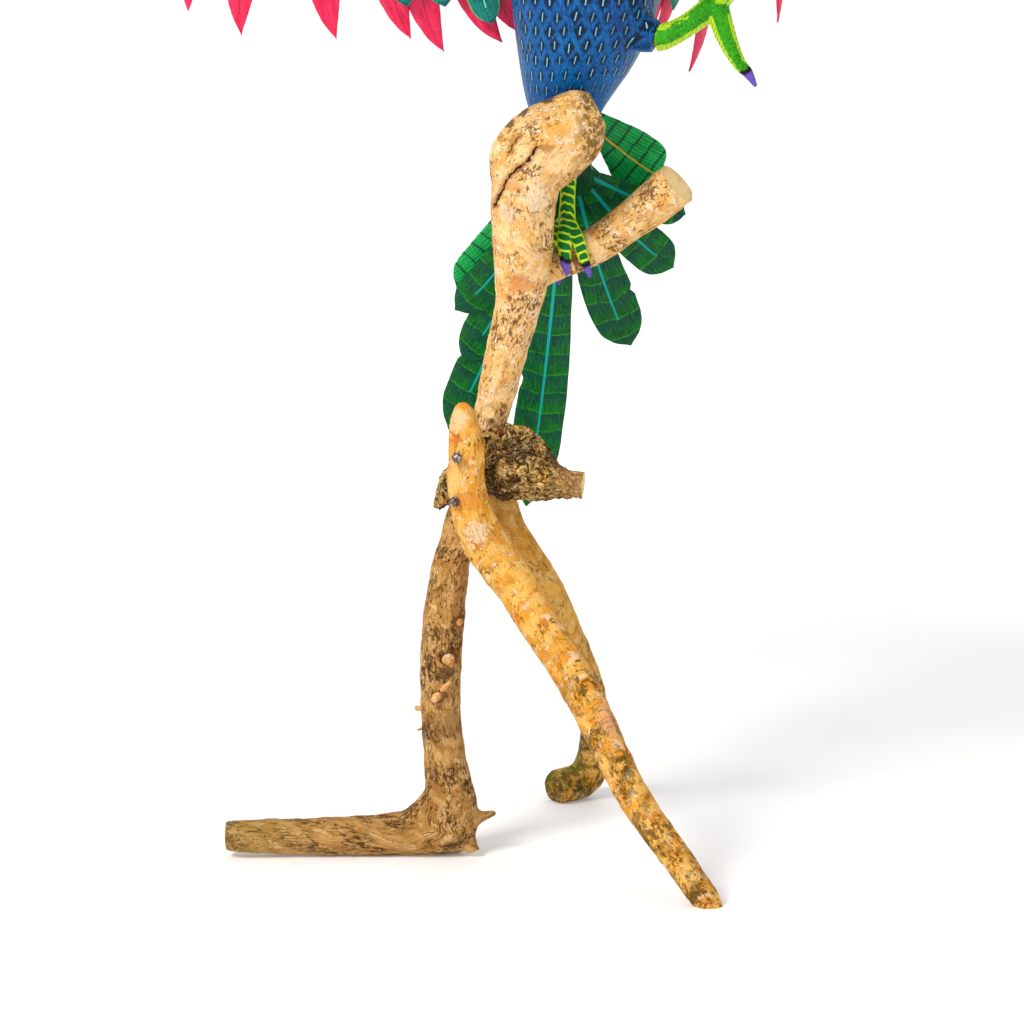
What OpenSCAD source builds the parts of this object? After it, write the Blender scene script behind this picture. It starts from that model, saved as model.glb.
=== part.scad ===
// Carved and painted bird on a stand of natural branches, in millimetres.
// +Z is up, the bird's chest looks towards -Y and +X, and the floor is z = 0.
// Right and left are the bird's own: its right wing reaches towards -X.

/* [Stand] */
// Girth of every branch, as a share of its drawn radius
branch_girth = 1; // [0.94:0.02:1.02]
// Sides round a branch's skin
branch_sides = 14; // [10:2:16]
// Radius of the round tenon that joins the trunk to the hub
trunk_tenon_r = 6; // [5:0.5:7]
// Radius of the dowel between the trunk's knob and the bird's belly
belly_dowel_r = 4; // [3:0.5:5]
// Radius of a nail's shank
nail_r = 1.2; // [1:0.1:1.5]
// Radius of a nail's domed head
nail_head_r = 2.9; // [2.4:0.1:3.2]

/* [Bird] */
// Turn of the bird's chest from -Y towards +X, in degrees
bird_turn = 28; // [24:1:32]
// Backward sweep of each wing, in degrees
wing_sweep = 28; // [24:1:30]
// How far the left wing hangs lower than the right one, in degrees
left_wing_drop = 5; // [0:1:8]
// Length of the flat tenon that plugs a wing into the torso
wing_tenon_l = 22; // [16:1:24]
// Length of the flat tenon that plugs the tail into the torso
tail_tenon_l = 18; // [12:1:20]
// Play between a tenon and its mortise, on each side
tenon_play = 0.15; // [0.1:0.05:0.3]

/* [Feathers] */
// Half thickness of a feather along its shaft
feather_shaft = 1.1; // [0.9:0.1:1.2]
// Half thickness of a feather at its edges
feather_edge = 0.5; // [0.4:0.1:0.6]
// Twist that lets each wing feather slip under its neighbour, in degrees
shingle = 8; // [6:1:10]

/* [Hidden] */
CRIMSON_COUNT = 13;
TAIL_COUNT = 7;
TAIL_COVERT_COUNT = 4;
SIDES = ["right", "left"];

// The hub sits off the middle of the object's box by this much, and everything is moved back by it.
hub_offset = [-31, 94, 0];
// A gap that keeps bedded and lapped pieces from sharing wood
bed_gap = 0.2;
$fn = 32;

bark = "burlywood";
dark_bark = "saddlebrown";
peeled = "tan";
steel = "dimgray";
plumage = "royalblue";
crimson = "crimson";
teal = "teal";
leaf_green = "green";
lime = "yellowgreen";
covert_green = "mediumseagreen";

// ---------------------------------------------------------------- skins swept along a path

function unit(v) = v / norm(v);
function place(p) = [p[0], p[1], p[2]];

// A point between b and c on the smooth curve through a, b, c and d
function between(a, b, c, d, t) =
    0.5 * (2 * b + (c - a) * t + (2 * a - 5 * b + 4 * c - d) * t * t
           + (3 * b - a - 3 * c + d) * t * t * t);

// A smooth path with `steps` points for each drawn one
function smooth(path, steps) = let (last = len(path) - 1) [
    for (i = [0:last - 1], k = [0:steps - 1])
        between(path[max(i - 1, 0)], path[i], path[i + 1], path[min(i + 2, last)], k / steps),
    path[last]
];

// The direction of a path at its point i
function heading(path, i) =
    unit(place(path[min(i + 1, len(path) - 1)]) - place(path[max(i - 1, 0)]));

// One flat ring round a path point [x, y, z, half width, half depth]; `lumps` roughens it
function ring(p, along, ref, sides, lumps, phase) =
    let (side = unit(cross(ref, along)), up = cross(along, side),
         a = p[3], b = len(p) > 4 ? p[4] : p[3])
    [for (k = [0:sides - 1])
        let (q = 360 * k / sides,
             swell = 1 + lumps * (0.6 * sin(3 * q + 47 * phase) + 0.4 * sin(5 * q - 31 * phase)))
        place(p) + swell * (a * cos(q) * side + b * sin(q) * up)];

// A closed skin through rings that all have the same number of points
module skin(rings) {
    n = len(rings[0]);
    top = (len(rings) - 1) * n;
    polyhedron(
        points = [for (r = rings) each r],
        faces = concat(
            [[for (k = [0:n - 1]) k]],
            [for (i = [0:len(rings) - 2], k = [0:n - 1])
                [i * n + k, (i + 1) * n + k, (i + 1) * n + (k + 1) % n]],
            [for (i = [0:len(rings) - 2], k = [0:n - 1])
                [i * n + k, (i + 1) * n + (k + 1) % n, i * n + (k + 1) % n]],
            [[for (k = [n - 1:-1:0]) top + k]]
        )
    );
}

// A limb swept along a drawn path. `ref` is any direction that the path never takes.
module limb(path, steps = 2, ref = [0, 1, 0], sides = branch_sides, lumps = 0.05, grow = 0, girth = 1) {
    fine = smooth([for (p = path) len(p) > 4
        ? [p[0], p[1], p[2], p[3] * girth + grow, p[4] * girth + grow]
        : [p[0], p[1], p[2], p[3] * girth + grow]], steps);
    skin([for (i = [0:len(fine) - 1]) ring(fine[i], heading(fine, i), ref, sides, lumps, i / steps)]);
}

module branch(path, steps = 2, ref = [0, 1, 0], lumps = 0.05, grow = 0) {
    limb(path, steps, ref, branch_sides, lumps, grow, branch_girth);
}

// ---------------------------------------------------------------- the stand's branches
// Each row is a point on a branch's middle line and its radius there.

trunk_path = [
    [-13, 4, 238, 9], [-8, 5, 261, 11], [-2, 4, 287, 11.7], [4, 3, 310, 13.3], [6, 1, 333, 16.3],
    [6, -2, 357, 17.5], [8, -7, 375, 18.5], [13, -10, 392, 17]
];
// The knob is flatter from front to back, so that the bird's belly rests behind it.
knob_path = [
    [-3, -9, 371, 9, 9], [4.5, -9, 383, 20.5, 15], [17, -10, 394, 23.5, 17], [30, -10, 403, 21.5, 17],
    [40, -10, 411.5, 16.5, 13], [46, -10, 415, 9.5, 8]
];
perch_path = [
    [4, 8, 318, 7], [14, 14, 323, 8.4], [26, 18, 329, 9.3], [43, 18, 337, 10.4], [59, 15, 348, 10.9],
    [75, 11, 360.5, 11.9], [85, 8, 369, 12.6], [90, 6, 373.5, 12.2]
];
twig_stub_path = [[-9, 2, 253.5, 4.5], [-12, -8, 251.5, 4.5], [-13, -14, 250.5, 3.9]];
trunk_foot = [-13, 4, 238];
trunk_foot_lean = [6, 1, 23];
trunk_tenon_l = 15;

hub_path = [
    [-42, 3, 194, 2], [-38, 3, 200, 5], [-32, 2, 208, 9.5], [-24, 1, 213, 14], [-15, 0, 219, 18],
    [-4, 0, 221, 21], [7, 0, 217, 19], [18, -1, 212, 13.5], [27, -2, 210, 8.6], [39, -4, 209, 7.1]
];
front_leg_path = [
    [-26.8, -29, 259.5, 2.2], [-26.8, -29, 257.5, 4.6], [-26.5, -29, 252.5, 6.8], [-25.4, -29, 245, 9],
    [-24.6, -29, 237, 9.9], [-25, -29, 226, 10.3], [-24.6, -30, 211, 10.6],
    [-20, -30, 194, 11.6], [-12, -33, 178, 12.6], [2, -37, 161, 12.2], [13, -43, 143, 11.2],
    [27, -50, 123, 11], [40, -59, 101, 10.5], [51, -68, 79, 9.8], [63, -78, 56, 9.3],
    [80, -89, 33, 8.8], [96, -99, 13, 8.4], [102, -102, 5, 8], [106, -104, -4, 7.6]
];
side_leg_path = [
    [-29, -1, 198, 5.5], [-29, -2, 192, 8], [-30, -3, 178, 9.4], [-34, -5, 162, 10.8],
    [-38, -5, 133, 11.8], [-40, -5, 102, 11.6], [-39, -5, 71, 11.4], [-36, -5, 45, 12.8],
    [-33, -5, 28, 14.3], [-31, -5, 14, 12.5], [-31, -5, 7, 9]
];
side_foot_path = [
    [-27, -5, 13, 12.5], [-38, -5, 13.2, 14.2], [-50, -5, 12.4, 13.4], [-71, -6, 11, 12],
    [-96, -8, 11, 11], [-124, -10, 11.4, 10.2], [-149, -12, 12, 9.6], [-159, -12, 12, 8.2]
];
// The crook's thick inner corner, from the post down to the lying foot
crook_path = [[-35, -5, 39, 10.2], [-39, -5, 30.5, 11], [-45, -5, 23.5, 11], [-53, -5, 17.5, 10]];
heel_twig_path = [[-26, -5, 20, 6], [-17, -5, 21, 3.6], [-9, -6, 24, 2.2]];
heel_curl_path = [[-29, -8, 12, 6], [-23, -11, 7, 4.6], [-21, -12, 3, 3.4]];
back_leg_path = [
    [-14, 29, 228, 5], [-13, 29, 222, 8], [-8, 27, 204, 8.6], [-3, 27, 184, 8.8], [7, 32, 164, 9.2],
    [20, 43, 140, 9.8], [31, 58, 110, 10], [43, 74, 80, 9.5], [48, 87, 56, 8.7],
    [48, 99, 35, 9], [46, 109, 18, 10.6], [40, 110, 10, 11.2], [31, 104, 9.4, 10.8], [25, 99, 9.6, 10.4]
];

module trunk_wood(grow = 0) {
    branch(trunk_path, grow = grow);
    branch(perch_path, grow = grow);
    limb(knob_path, 3, [0, 1, 0], branch_sides, 0.05, grow, branch_girth);
}

module trunk_tenon(play = 0) {
    aim(trunk_foot, trunk_foot - trunk_foot_lean)
        translate([0, 0, -2]) cylinder(r = trunk_tenon_r + play, h = trunk_tenon_l + 2 + play);
}

// Points +Z of the children from one point at another
module aim(from, to) {
    d = to - from;
    translate(from) rotate([0, acos(d[2] / norm(d)), atan2(d[1], d[0])]) children();
}

// The half space under the floor, which saws a foot flat
module floor_cut() {
    translate([-400, -400, -60]) cube([800, 800, 60]);
}

module trunk() {
    color(peeled) difference() {
        union() {
            trunk_wood();
            branch(twig_stub_path, ref = [0, 0, 1]);
            trunk_tenon();
        }
        belly_dowel_hole();
    }
}

module hub_burl() {
    color(dark_bark) difference() {
        branch(hub_path, 3, [0, 1, 0], 0.09);
        branch(trunk_path, grow = bed_gap);
        branch(front_leg_path, grow = bed_gap);
        branch(side_leg_path, grow = bed_gap);
        branch(back_leg_path, ref = [1, 0, 0], grow = bed_gap);
        trunk_tenon(0.05);
    }
}

module front_leg() {
    color(bark) difference() {
        branch(front_leg_path);
        floor_cut();
    }
}

module side_leg() {
    color(bark) difference() {
        union() {
            branch(side_leg_path);
            branch(side_foot_path);
            branch(crook_path);
            branch(heel_twig_path);
            branch(heel_curl_path);
        }
        branch(front_leg_path, grow = bed_gap);
        floor_cut();
    }
}

module back_leg() {
    color(bark) difference() {
        branch(back_leg_path, ref = [1, 0, 0]);
        floor_cut();
    }
}

// ---------------------------------------------------------------- fasteners

module nail(head, point) {
    aim(head, point) {
        cylinder(r = nail_r, h = norm(point - head));
        difference() {
            sphere(r = nail_head_r);
            translate([0, 0, nail_head_r]) cube(2 * nail_head_r, center = true);
        }
    }
}

module front_leg_nails() {
    color(steel) {
        nail([-29.5, -40.1, 230.5], [-17, -2, 222]);
        nail([-31, -40.2, 206.6], [-28, -2, 207]);
    }
}

module side_leg_nail() {
    color(steel) nail([-30, 7, 186], [-25, -36, 190]);
}

module back_leg_nails() {
    color(steel) {
        nail([-12, 37.6, 218], [-11, 0, 220]);
        nail([-3, 36, 198], [1, 2, 210]);
    }
}

belly_dowel_from = [26, -16, 404];
belly_dowel_to = [32, 30, 410];
belly_dowel_l = norm(belly_dowel_to - belly_dowel_from);
module belly_dowel_hole() {
    aim(belly_dowel_from, belly_dowel_to) cylinder(r = belly_dowel_r, h = belly_dowel_l);
}
module belly_dowel() {
    color(bark) aim(belly_dowel_from, belly_dowel_to) translate([0, 0, bed_gap])
        cylinder(r = belly_dowel_r - 0.03, h = belly_dowel_l - 2 * bed_gap);
}

foot_pin_top = [30, 15, 366];
foot_pin_end = [30, 18, 324];
foot_pin_r = 1.4;
module foot_pin() {
    color(steel) aim(foot_pin_top, foot_pin_end)
        cylinder(r = foot_pin_r, h = norm(foot_pin_end - foot_pin_top));
}

// ---------------------------------------------------------------- the bird's body
// The bird's own frame stands on its middle line: x is its left, -y its chest.

bird_middle = [43, 24, 0];
module bird_frame() {
    translate(bird_middle) rotate([0, 0, bird_turn]) children();
}

// [x, y, z, half width, half depth]
body_path = [
    [-6.4, 16.5, 387, 13, 12], [-8.4, 14.5, 403, 17, 16.5], [-9.2, 12, 416, 22.3, 21.5],
    [-8.4, 9, 430, 28, 27], [-6.4, 5.5, 446, 34.2, 33], [-3.6, 2.5, 468, 40.2, 38.5],
    [-1.8, 0, 498, 43, 41], [0, -1, 525, 42, 40],
    [1.6, -1, 548, 38, 35], [3.2, -1.5, 570, 30, 28], [4.2, -4, 590, 23.5, 23], [5, -6, 608, 20.5, 21],
    [5, -9, 628, 21, 22], [4, -10, 645, 17, 17], [4, -10, 654, 8, 8]
];
head_middle = [4.5, -9, 632];
head_turn = 24;
skull_path = [
    [0, 24, 3, 5, 6], [0, 17, 4, 15, 15], [0, 4, 4, 22, 21], [0, -12, 2, 21, 19],
    [0, -24, -1, 15, 14], [0, -32, -3, 9.5, 11]
];
upper_beak_path = [
    [0, -27, 0, 9.5, 9.5], [0, -36, -1, 8, 8.5], [0, -45, -4, 6, 7], [0, -51, -10, 3.8, 4.8],
    [0, -52.5, -17, 1.6, 2.4], [0, -51.5, -21, 0.5, 0.8]
];
lower_beak_path = [[0, -22, -10, 8, 4], [0, -32, -13, 6, 3], [0, -40, -15.5, 3.5, 2.2],
    [0, -44, -16, 1, 0.8]];
raised_thigh_path = [[44, 22, 476, 25], [51, 18, 469, 23], [60, 14, 461, 18], [69, 11, 455, 12],
    [78, 8.5, 452, 8.6]];
perched_thigh_path = [[34, 29, 428, 20], [33, 25, 415, 16], [32, 21.5, 404, 11.5], [32, 20, 396, 7.5]];

module head_frame() {
    bird_frame() translate(head_middle) rotate([0, 0, head_turn]) children();
}

module body_wood(grow = 0) {
    bird_frame() limb(body_path, 2, [0, 1, 0], 22, 0, grow);
}
module raised_thigh_wood(grow = 0) {
    limb(raised_thigh_path, 2, [0, 1, 0], 18, 0, grow);
}
module perched_thigh_wood(grow = 0) {
    limb(perched_thigh_path, 2, [0, 1, 0], 14, 0, grow);
}

module torso_wood() {
    body_wood();
    raised_thigh_wood();
    perched_thigh_wood();
    head_frame() {
        limb(skull_path, 2, [0, 0, 1], 20, 0);
        limb(upper_beak_path, 2, [1, 0, 0], 12, 0);
        limb(lower_beak_path, 2, [0, 0, 1], 10, 0);
    }
}

module torso() {
    color(plumage) difference() {
        torso_wood();
        for (s = SIDES) wing_frame(s) {
            wing_socket();
            wing_tenon(tenon_play);
        }
        tail_frame() tail_tenon(tenon_play);
        tail_frame() tail_blade(rump_feather_row, 0.12);
        belly_dowel_hole();
        perched_leg_tenon(0.05);
        raised_leg_tenon(0.05);
        crest_slots();
    }
}

// ---------------------------------------------------------------- legs

perched_leg_top = [32, 20, 396];
perched_leg_path = [
    [32, 20, 395.8, 5.6], [31.6, 19, 388, 5], [30.8, 17.5, 374, 4.4], [30.2, 16, 362, 4.3],
    [30, 15, 352, 5], [30, 14, 344, 5]
];
// Three toes lie over the perch's front, and one reaches down behind it. Each ends in its claw.
toe_paths = [
    [[29, 13, 352, 4], [28.4, 6, 346, 4.2], [28.6, 3.5, 339, 3.9], [29, 3.2, 333, 3.3],
    [29.3, 2, 329, 2.7], [30, 1.6, 323.5, 1]],
    [[31, 13, 352, 3.8], [34.5, 7, 346, 3.7], [37.2, 5, 339, 3.5], [38.8, 4, 333, 3.1],
    [40.5, 2.6, 329, 2.5],
     [42.5, 2.2, 322.5, 0.9]],
    [[27.5, 15, 351, 4], [21, 8, 344, 4], [18.5, 4.5, 336, 3.7], [18, 3, 330, 3.1],
    [17.8, 2, 326, 2.5], [18.4, 2, 321, 0.9]],
    [[30, 17, 351, 4], [28.5, 27, 346, 3.7], [27, 31.5, 335, 3.4], [26, 31, 324, 2.9],
    [25.6, 29.6, 320, 2.3],
     [25.6, 27.6, 315, 0.8]]
];
raised_leg_root = [78, 8.5, 452];
raised_leg_path = [
    [78.2, 8.5, 452.1, 8], [82, 7.6, 452.6, 7.4], [88, 6, 455, 6.6], [96, 3, 460, 6.3],
    [103, 0.5, 465.5, 6.6], [110, -2, 471, 7.4]
];
raised_toe_paths = [
    [[108.6, -1, 472, 6.8], [112.5, -4.5, 459, 6.3], [117, -7, 447.5, 5], [122, -9, 438.5, 3.7],
    [126, -10.3, 434.5, 3],
     [130.5, -11.3, 427, 1]],
    [[106, 0, 468, 6.4], [117, -6, 479, 6], [126, -11, 485, 5], [133, -16, 485, 3.7],
    [138, -19, 482, 3], [141.5, -21.5, 475.5, 1]],
    [[108, 0.6, 468.4, 6.2], [111, -9, 479, 6], [113, -20, 488, 5], [112, -30, 491, 3.7],
    [111, -36, 489, 3], [111, -41, 483, 1]],
    [[108.6, -3, 466.6, 6], [109, 6, 479, 5.8], [111, 13, 489, 4.8], [116, 18, 497, 3.5],
    [119.5, 20.5, 500, 2.9],
     [124, 22, 500, 1]]
];

module perched_leg_tenon(play = 0) {
    aim(perched_leg_top, perched_leg_top + [1, 5, 14])
        translate([0, 0, -9]) cylinder(r = 3 + play, h = 15 + play);
}
module raised_leg_tenon(play = 0) {
    aim(raised_leg_root, [55, 17, 464]) translate([0, 0, -3]) cylinder(r = 4.5 + play, h = 21 + play);
}

module perched_leg() {
    color(lime) union() {
        difference() {
            union() {
                limb(perched_leg_path, 2, [0, 1, 0], 12, 0);
                for (p = toe_paths) limb(p, 2, [1, 0, 0], 10, 0);
            }
            branch(perch_path, grow = bed_gap);
            branch(trunk_path, grow = bed_gap);
            body_wood(bed_gap);
            perched_thigh_wood(bed_gap);
        }
        perched_leg_tenon();
    }
}

module raised_leg() {
    color(leaf_green) union() {
        difference() {
            limb(raised_leg_path, 2, [0, 1, 0], 12, 0);
            raised_thigh_wood(bed_gap);
        }
        for (p = raised_toe_paths) limb(p, 2, [0.3, 1, 0.2], 10, 0);
        raised_leg_tenon();
    }
}

// ---------------------------------------------------------------- feathers
// A feather is a thin blade in the xz plane, from its root to its tip, that bows to one side.

function bow_point(root, tip, bow, s) =
    let (d = tip - root, knee = root + 0.66 * d + bow * [-d[1], d[0]])
    (1 - s) * (1 - s) * root + 2 * s * (1 - s) * knee + s * s * tip;
function bow_heading(root, tip, bow, s) =
    let (d = tip - root, knee = root + 0.66 * d + bow * [-d[1], d[0]])
    unit(2 * (1 - s) * (knee - root) + 2 * s * (tip - knee));

// Half width at s along a feather, as a share of its widest
function flame(s) = max(0.05, (0.26 + 0.74 * sin(90 * min(1, s / 0.5))) * pow(cos(90 * pow(s, 2.2)), 0.9));
function rounded(s) = max(0.2, (0.34 + 0.66 * sin(90 * min(1, s / 0.72))) * sqrt(1 - pow(s, 9)));

// tilt is the shingle twist, lift is how far the tip stands back, and layer is the root's depth
module feather(root, tip, bow, width, flame_tip, tilt = 0, lift = 0, layer = 0, grow = 0, stations = 9) {
    skin([for (i = [0:stations]) let (
        s = 1 - pow(1 - i / stations, 1.35),
        p = bow_point(root, tip, bow, s),
        d = bow_heading(root, tip, bow, s),
        turn = tilt * min(1, s / 0.16),
        w = width / 2 * (flame_tip ? flame(s) : rounded(s)) + grow,
        thin = 1 - 0.4 * s,
        t = min(feather_shaft * thin, w) + grow,
        e = min(feather_edge * thin, 0.8 * w) + grow,
        across = cos(turn) * [d[1], 0, -d[0]] + sin(turn) * [0, 1, 0],
        deep = cos(turn) * [0, 1, 0] - sin(turn) * [d[1], 0, -d[0]],
        c = [p[0], layer + lift * s * s, p[1]])
        [c + w * across - e * deep, c + w * across + e * deep, c + t * deep,
         c - w * across + e * deep, c - w * across - e * deep, c - t * deep]]);
}

// ---------------------------------------------------------------- wings
// A wing's frame lies on the torso's flat seat: x outwards, y back, z up.

shoulder_z = 546;
seat_out = 33;
seat_back = 7;
module wing_frame(side) {
    drop = side == "left" ? left_wing_drop : 0;
    bird_frame() translate([1.5, -1, shoulder_z]) mirror([side == "right" ? 1 : 0, 0, 0])
        rotate([0, 0, wing_sweep]) translate([seat_out, seat_back, 0]) rotate([0, drop, 0]) children();
}

wing_tenon_size = [7, 13];
module wing_tenon(play = 0) {
    translate([-wing_tenon_l - play, -7.6 - play, -5 - play])
        cube([wing_tenon_l + 1 + play, wing_tenon_size[0] + 2 * play, wing_tenon_size[1] + 2 * play]);
}

// The shallow recess in the torso that the wing's root fills
module wing_socket() {
    translate([0, 1.5, -1]) rotate([0, 90, 0]) scale([17, 11, 1]) cylinder(r = 1, h = 20);
}

// [out, up, half height] along the wing's leading edge
wing_line = [
    [0.2, -1, 15], [18, 2, 16], [38, 12, 16], [60, 27, 15], [80, 43, 14], [99, 60, 13], [117, 78, 11],
    [131, 97, 9],
    [143, 116, 6], [149, 128, 3]
];
arm_depth = 8.5;
backing_depth = 4.5;
covert_layer = 1.4;
crimson_layer = 4;
backing_layer = 5.6;

// A board that is rounded on one side and flat on the other, between two depths
module wing_board(flat_y, round_y, shrink) {
    fine = smooth(wing_line, 2);
    skin([for (i = [0:len(fine) - 1]) let (
        p = fine[i],
        a = i == 0 ? 0 : atan2(fine[min(i + 1, len(fine) - 1)][1] - fine[i - 1][1],
                               fine[min(i + 1, len(fine) - 1)][0] - fine[i - 1][0]),
        r = p[2] * shrink,
        deep = (round_y - flat_y) * min(1, 0.35 + p[2] / 16))
        [for (k = [0:9]) let (q = round_y < flat_y ? 180 + 180 * k / 9 : 180 * k / 9)
            [p[0] + r * cos(q) * sin(a), flat_y + abs(sin(q)) * deep, p[1] - r * cos(q) * cos(a)]]]);
}

module wing_arm(side) {
    color(plumage) wing_frame(side) union() {
        wing_board(0, -arm_depth, 1);
        wing_tenon();
    }
}
module wing_backing(side) {
    color(plumage) wing_frame(side) wing_board(backing_layer, backing_layer + backing_depth, 0.94);
}

// [root out, root up, tip out, tip up, bow, width] of the crimson feathers, from the body outwards
crimson_feathers = [
    [20, 3, 9, -93, 0.20, 20], [34, 10, 17, -99, 0.24, 23], [49, 19, 49, -104, 0.22, 24],
    [63, 29, 67, -97, 0.22, 25], [79, 42, 108, -97, 0.22, 27], [94, 56, 160, -95, 0.20, 29],
    [106, 67, 189, -82, 0.19, 29], [115, 76, 224, -58, 0.18, 28], [122, 85, 254, -27, 0.17, 27],
    [128, 93, 274, 16, 0.16, 26], [133, 100, 282, 64, 0.15, 24], [138, 108, 272, 112, 0.14, 22],
    [143, 117, 246, 160, 0.12, 19]
];
// The same for the teal coverts in front of them, which are round at the tip
wing_coverts_rows = [
    [26, 5, 22, -88, 0.16, 19], [41, 13, 48, -79, 0.13, 20], [57, 24, 69, -79, 0.10, 21],
    [73, 38, 106, -66, 0.09, 22], [89, 52, 138, -50, 0.08, 22], [104, 65, 167, -26, 0.07, 21],
    [117, 79, 191, 6, 0.06, 20], [127, 93, 204, 41, 0.05, 19], [135, 106, 200, 78, 0.05, 17]
];

module blade(row, flame_tip, lift, layer) {
    feather([row[0], row[1]], [row[2], row[3]], row[4], row[5], flame_tip, -shingle, lift, layer);
}
// Four of the left wing's tips lie a little away from their twins': how far out and up, for each feather
left_tip_shift = [
    [0, 0], [0, 0], [0, 0], [0, 0], [0, -16], [-24, 2], [18, 1], [11, 0], [0, 0], [0, 0], [0, 0],
    [0, 0], [0, 0]
];
module crimson_feather(side, i) {
    shift = side == "left" ? left_tip_shift[i - 1] : [0, 0];
    row = crimson_feathers[i - 1] + [0, 0, shift[0], shift[1], 0, 0];
    color(crimson) wing_frame(side) blade(row, true, 8, crimson_layer);
}
module wing_coverts(side) {
    color(teal) wing_frame(side) for (row = wing_coverts_rows) blade(row, false, 0, covert_layer);
}

// ---------------------------------------------------------------- tail
// The tail's frame hangs from the torso's lower end: x across, -z down the tail, y back.

tail_root = [30, 37.5, 386.6];
tail_lean = 11.3;
module tail_frame() {
    translate(tail_root) rotate([tail_lean, 0, 0]) children();
}
module tail_tenon(play = 0) {
    translate([-6 - play, -4 - play, -1]) cube([12 + 2 * play, 8 + 2 * play, tail_tenon_l + 1 + play]);
}

// [root across, root down, tip across, tip down, bow, width, depth] of the long feathers
tail_feathers = [
    [-1, 10, -22, 212, 0.02, 29, 4.2], [4, 11, 37, 113, -0.06, 29, 1.4], [8, 12, 60, 66, -0.08, 26, -1.4],
    [10, 10, 66, 34, -0.06, 19, -4.2], [-6, 11, -66, 164, 0.05, 30, 1.4],
    [-8, 12, -58, 121, 0.10, 27, -1.4],
    [-10, 11, -62, 90, 0.14, 24, -4.2]
];
// The coverts lie over the back of the fan's root.
tail_coverts = [
    [-12, 9, -61, 82, 0.10, 27, 7], [0, 6, -6, 66, 0, 26, 7], [6, 7, 36, 50, -0.04, 24, 9.8],
    [-5, 7, -38, 56, 0.04, 24, 9.8]
];
// One more covert is let into the torso's back, above the tail.
rump_feather_row = [5, -20, 52, 18, -0.04, 34, 13.6];
module tail_blade(row, grow = 0) {
    feather([row[0], -row[1]], [row[2], -row[3]], row[4], row[5], false, 0, 2, row[6], grow);
}

module tail_block() {
    color(leaf_green) tail_frame() difference() {
        union() {
            hull() {
                translate([0, 0.3, -0.6]) cylinder(r = 12, h = 0.5, $fn = 24);
                translate([-15, -9, -16]) cube([30, 21, 4]);
                translate([-11, -7, -22]) cube([22, 17, 2]);
            }
            tail_tenon();
        }
        for (row = concat(tail_feathers, tail_coverts)) tail_blade(row, 0.12);
    }
}
module tail_feather(i) {
    color(leaf_green) tail_frame() tail_blade(tail_feathers[i - 1]);
}
module tail_covert(i) {
    color(covert_green) tail_frame() tail_blade(tail_coverts[i - 1]);
}
module rump_feather() {
    color(covert_green) tail_frame() tail_blade(rump_feather_row);
}

// ---------------------------------------------------------------- crest

// [fan angle, length, width]
crest_rows = [[-34, 40, 10], [-17, 50, 11], [0, 56, 12], [17, 50, 11], [34, 40, 10]];
module crest_blade(row, grow = 0) {
    head_frame() translate([0, 8, 14]) rotate([-38, row[0], 0])
        feather([0, 4], [0, row[1]], 0.1, row[2], true, 0, 8, 0, grow, 8);
}
module crest_slots() {
    for (row = crest_rows) crest_blade(row, 0.12);
}
module crest_plumes() {
    color(crimson) for (row = crest_rows) crest_blade(row);
}

// ---------------------------------------------------------------- nodes

module centred() {
    translate(-hub_offset) children();
}

centred() {
    trunk();
    hub_burl();
    front_leg();
    side_leg();
    back_leg();
    front_leg_nails();
    side_leg_nail();
    back_leg_nails();
    belly_dowel();
    foot_pin();
    torso();
    crest_plumes();
    perched_leg();
    raised_leg();
    tail_block();
    rump_feather();
    for (s = SIDES) {
        wing_arm(s);
        wing_backing(s);
        wing_coverts(s);
        for (i = [1:CRIMSON_COUNT])
            crimson_feather(s, i);
    }
    for (i = [1:TAIL_COUNT]) tail_feather(i);
    for (i = [1:TAIL_COVERT_COUNT]) tail_covert(i);
}
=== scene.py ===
"""A carved and painted bird on a stand of natural branches, dressed round its frame."""
import heapq
import math

import bmesh
import bpy
import numpy as np
from mathutils import Matrix, Vector
from mathutils.bvhtree import BVHTree


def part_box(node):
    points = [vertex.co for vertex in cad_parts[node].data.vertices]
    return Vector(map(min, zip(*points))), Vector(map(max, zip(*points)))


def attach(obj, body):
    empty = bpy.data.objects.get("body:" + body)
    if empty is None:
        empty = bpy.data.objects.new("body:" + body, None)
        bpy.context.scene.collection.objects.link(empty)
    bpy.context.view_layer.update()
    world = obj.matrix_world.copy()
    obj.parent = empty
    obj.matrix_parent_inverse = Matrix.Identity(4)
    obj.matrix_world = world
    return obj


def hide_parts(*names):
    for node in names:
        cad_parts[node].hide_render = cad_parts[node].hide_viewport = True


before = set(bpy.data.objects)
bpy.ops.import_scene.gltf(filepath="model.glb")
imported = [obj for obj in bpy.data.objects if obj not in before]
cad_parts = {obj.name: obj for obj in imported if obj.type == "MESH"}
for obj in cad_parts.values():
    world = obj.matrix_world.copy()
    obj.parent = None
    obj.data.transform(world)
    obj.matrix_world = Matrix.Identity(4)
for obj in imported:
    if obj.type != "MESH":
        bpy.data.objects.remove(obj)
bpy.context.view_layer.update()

MM = 0.001
STAND = "stand_and_bird"
SIDES = ("right", "left")
BODY_OF_SIDE = {"right": "right_wing", "left": "left_wing"}


def paint(red, green, blue):
    """A linear colour from the usual 0 to 255 values."""
    def linear(value):
        share = value / 255
        return share / 12.92 if share <= 0.04045 else ((share + 0.055) / 1.055) ** 2.4
    return (linear(red), linear(green), linear(blue), 1.0)


# ------------------------------------------------------------------ trees of nodes

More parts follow.
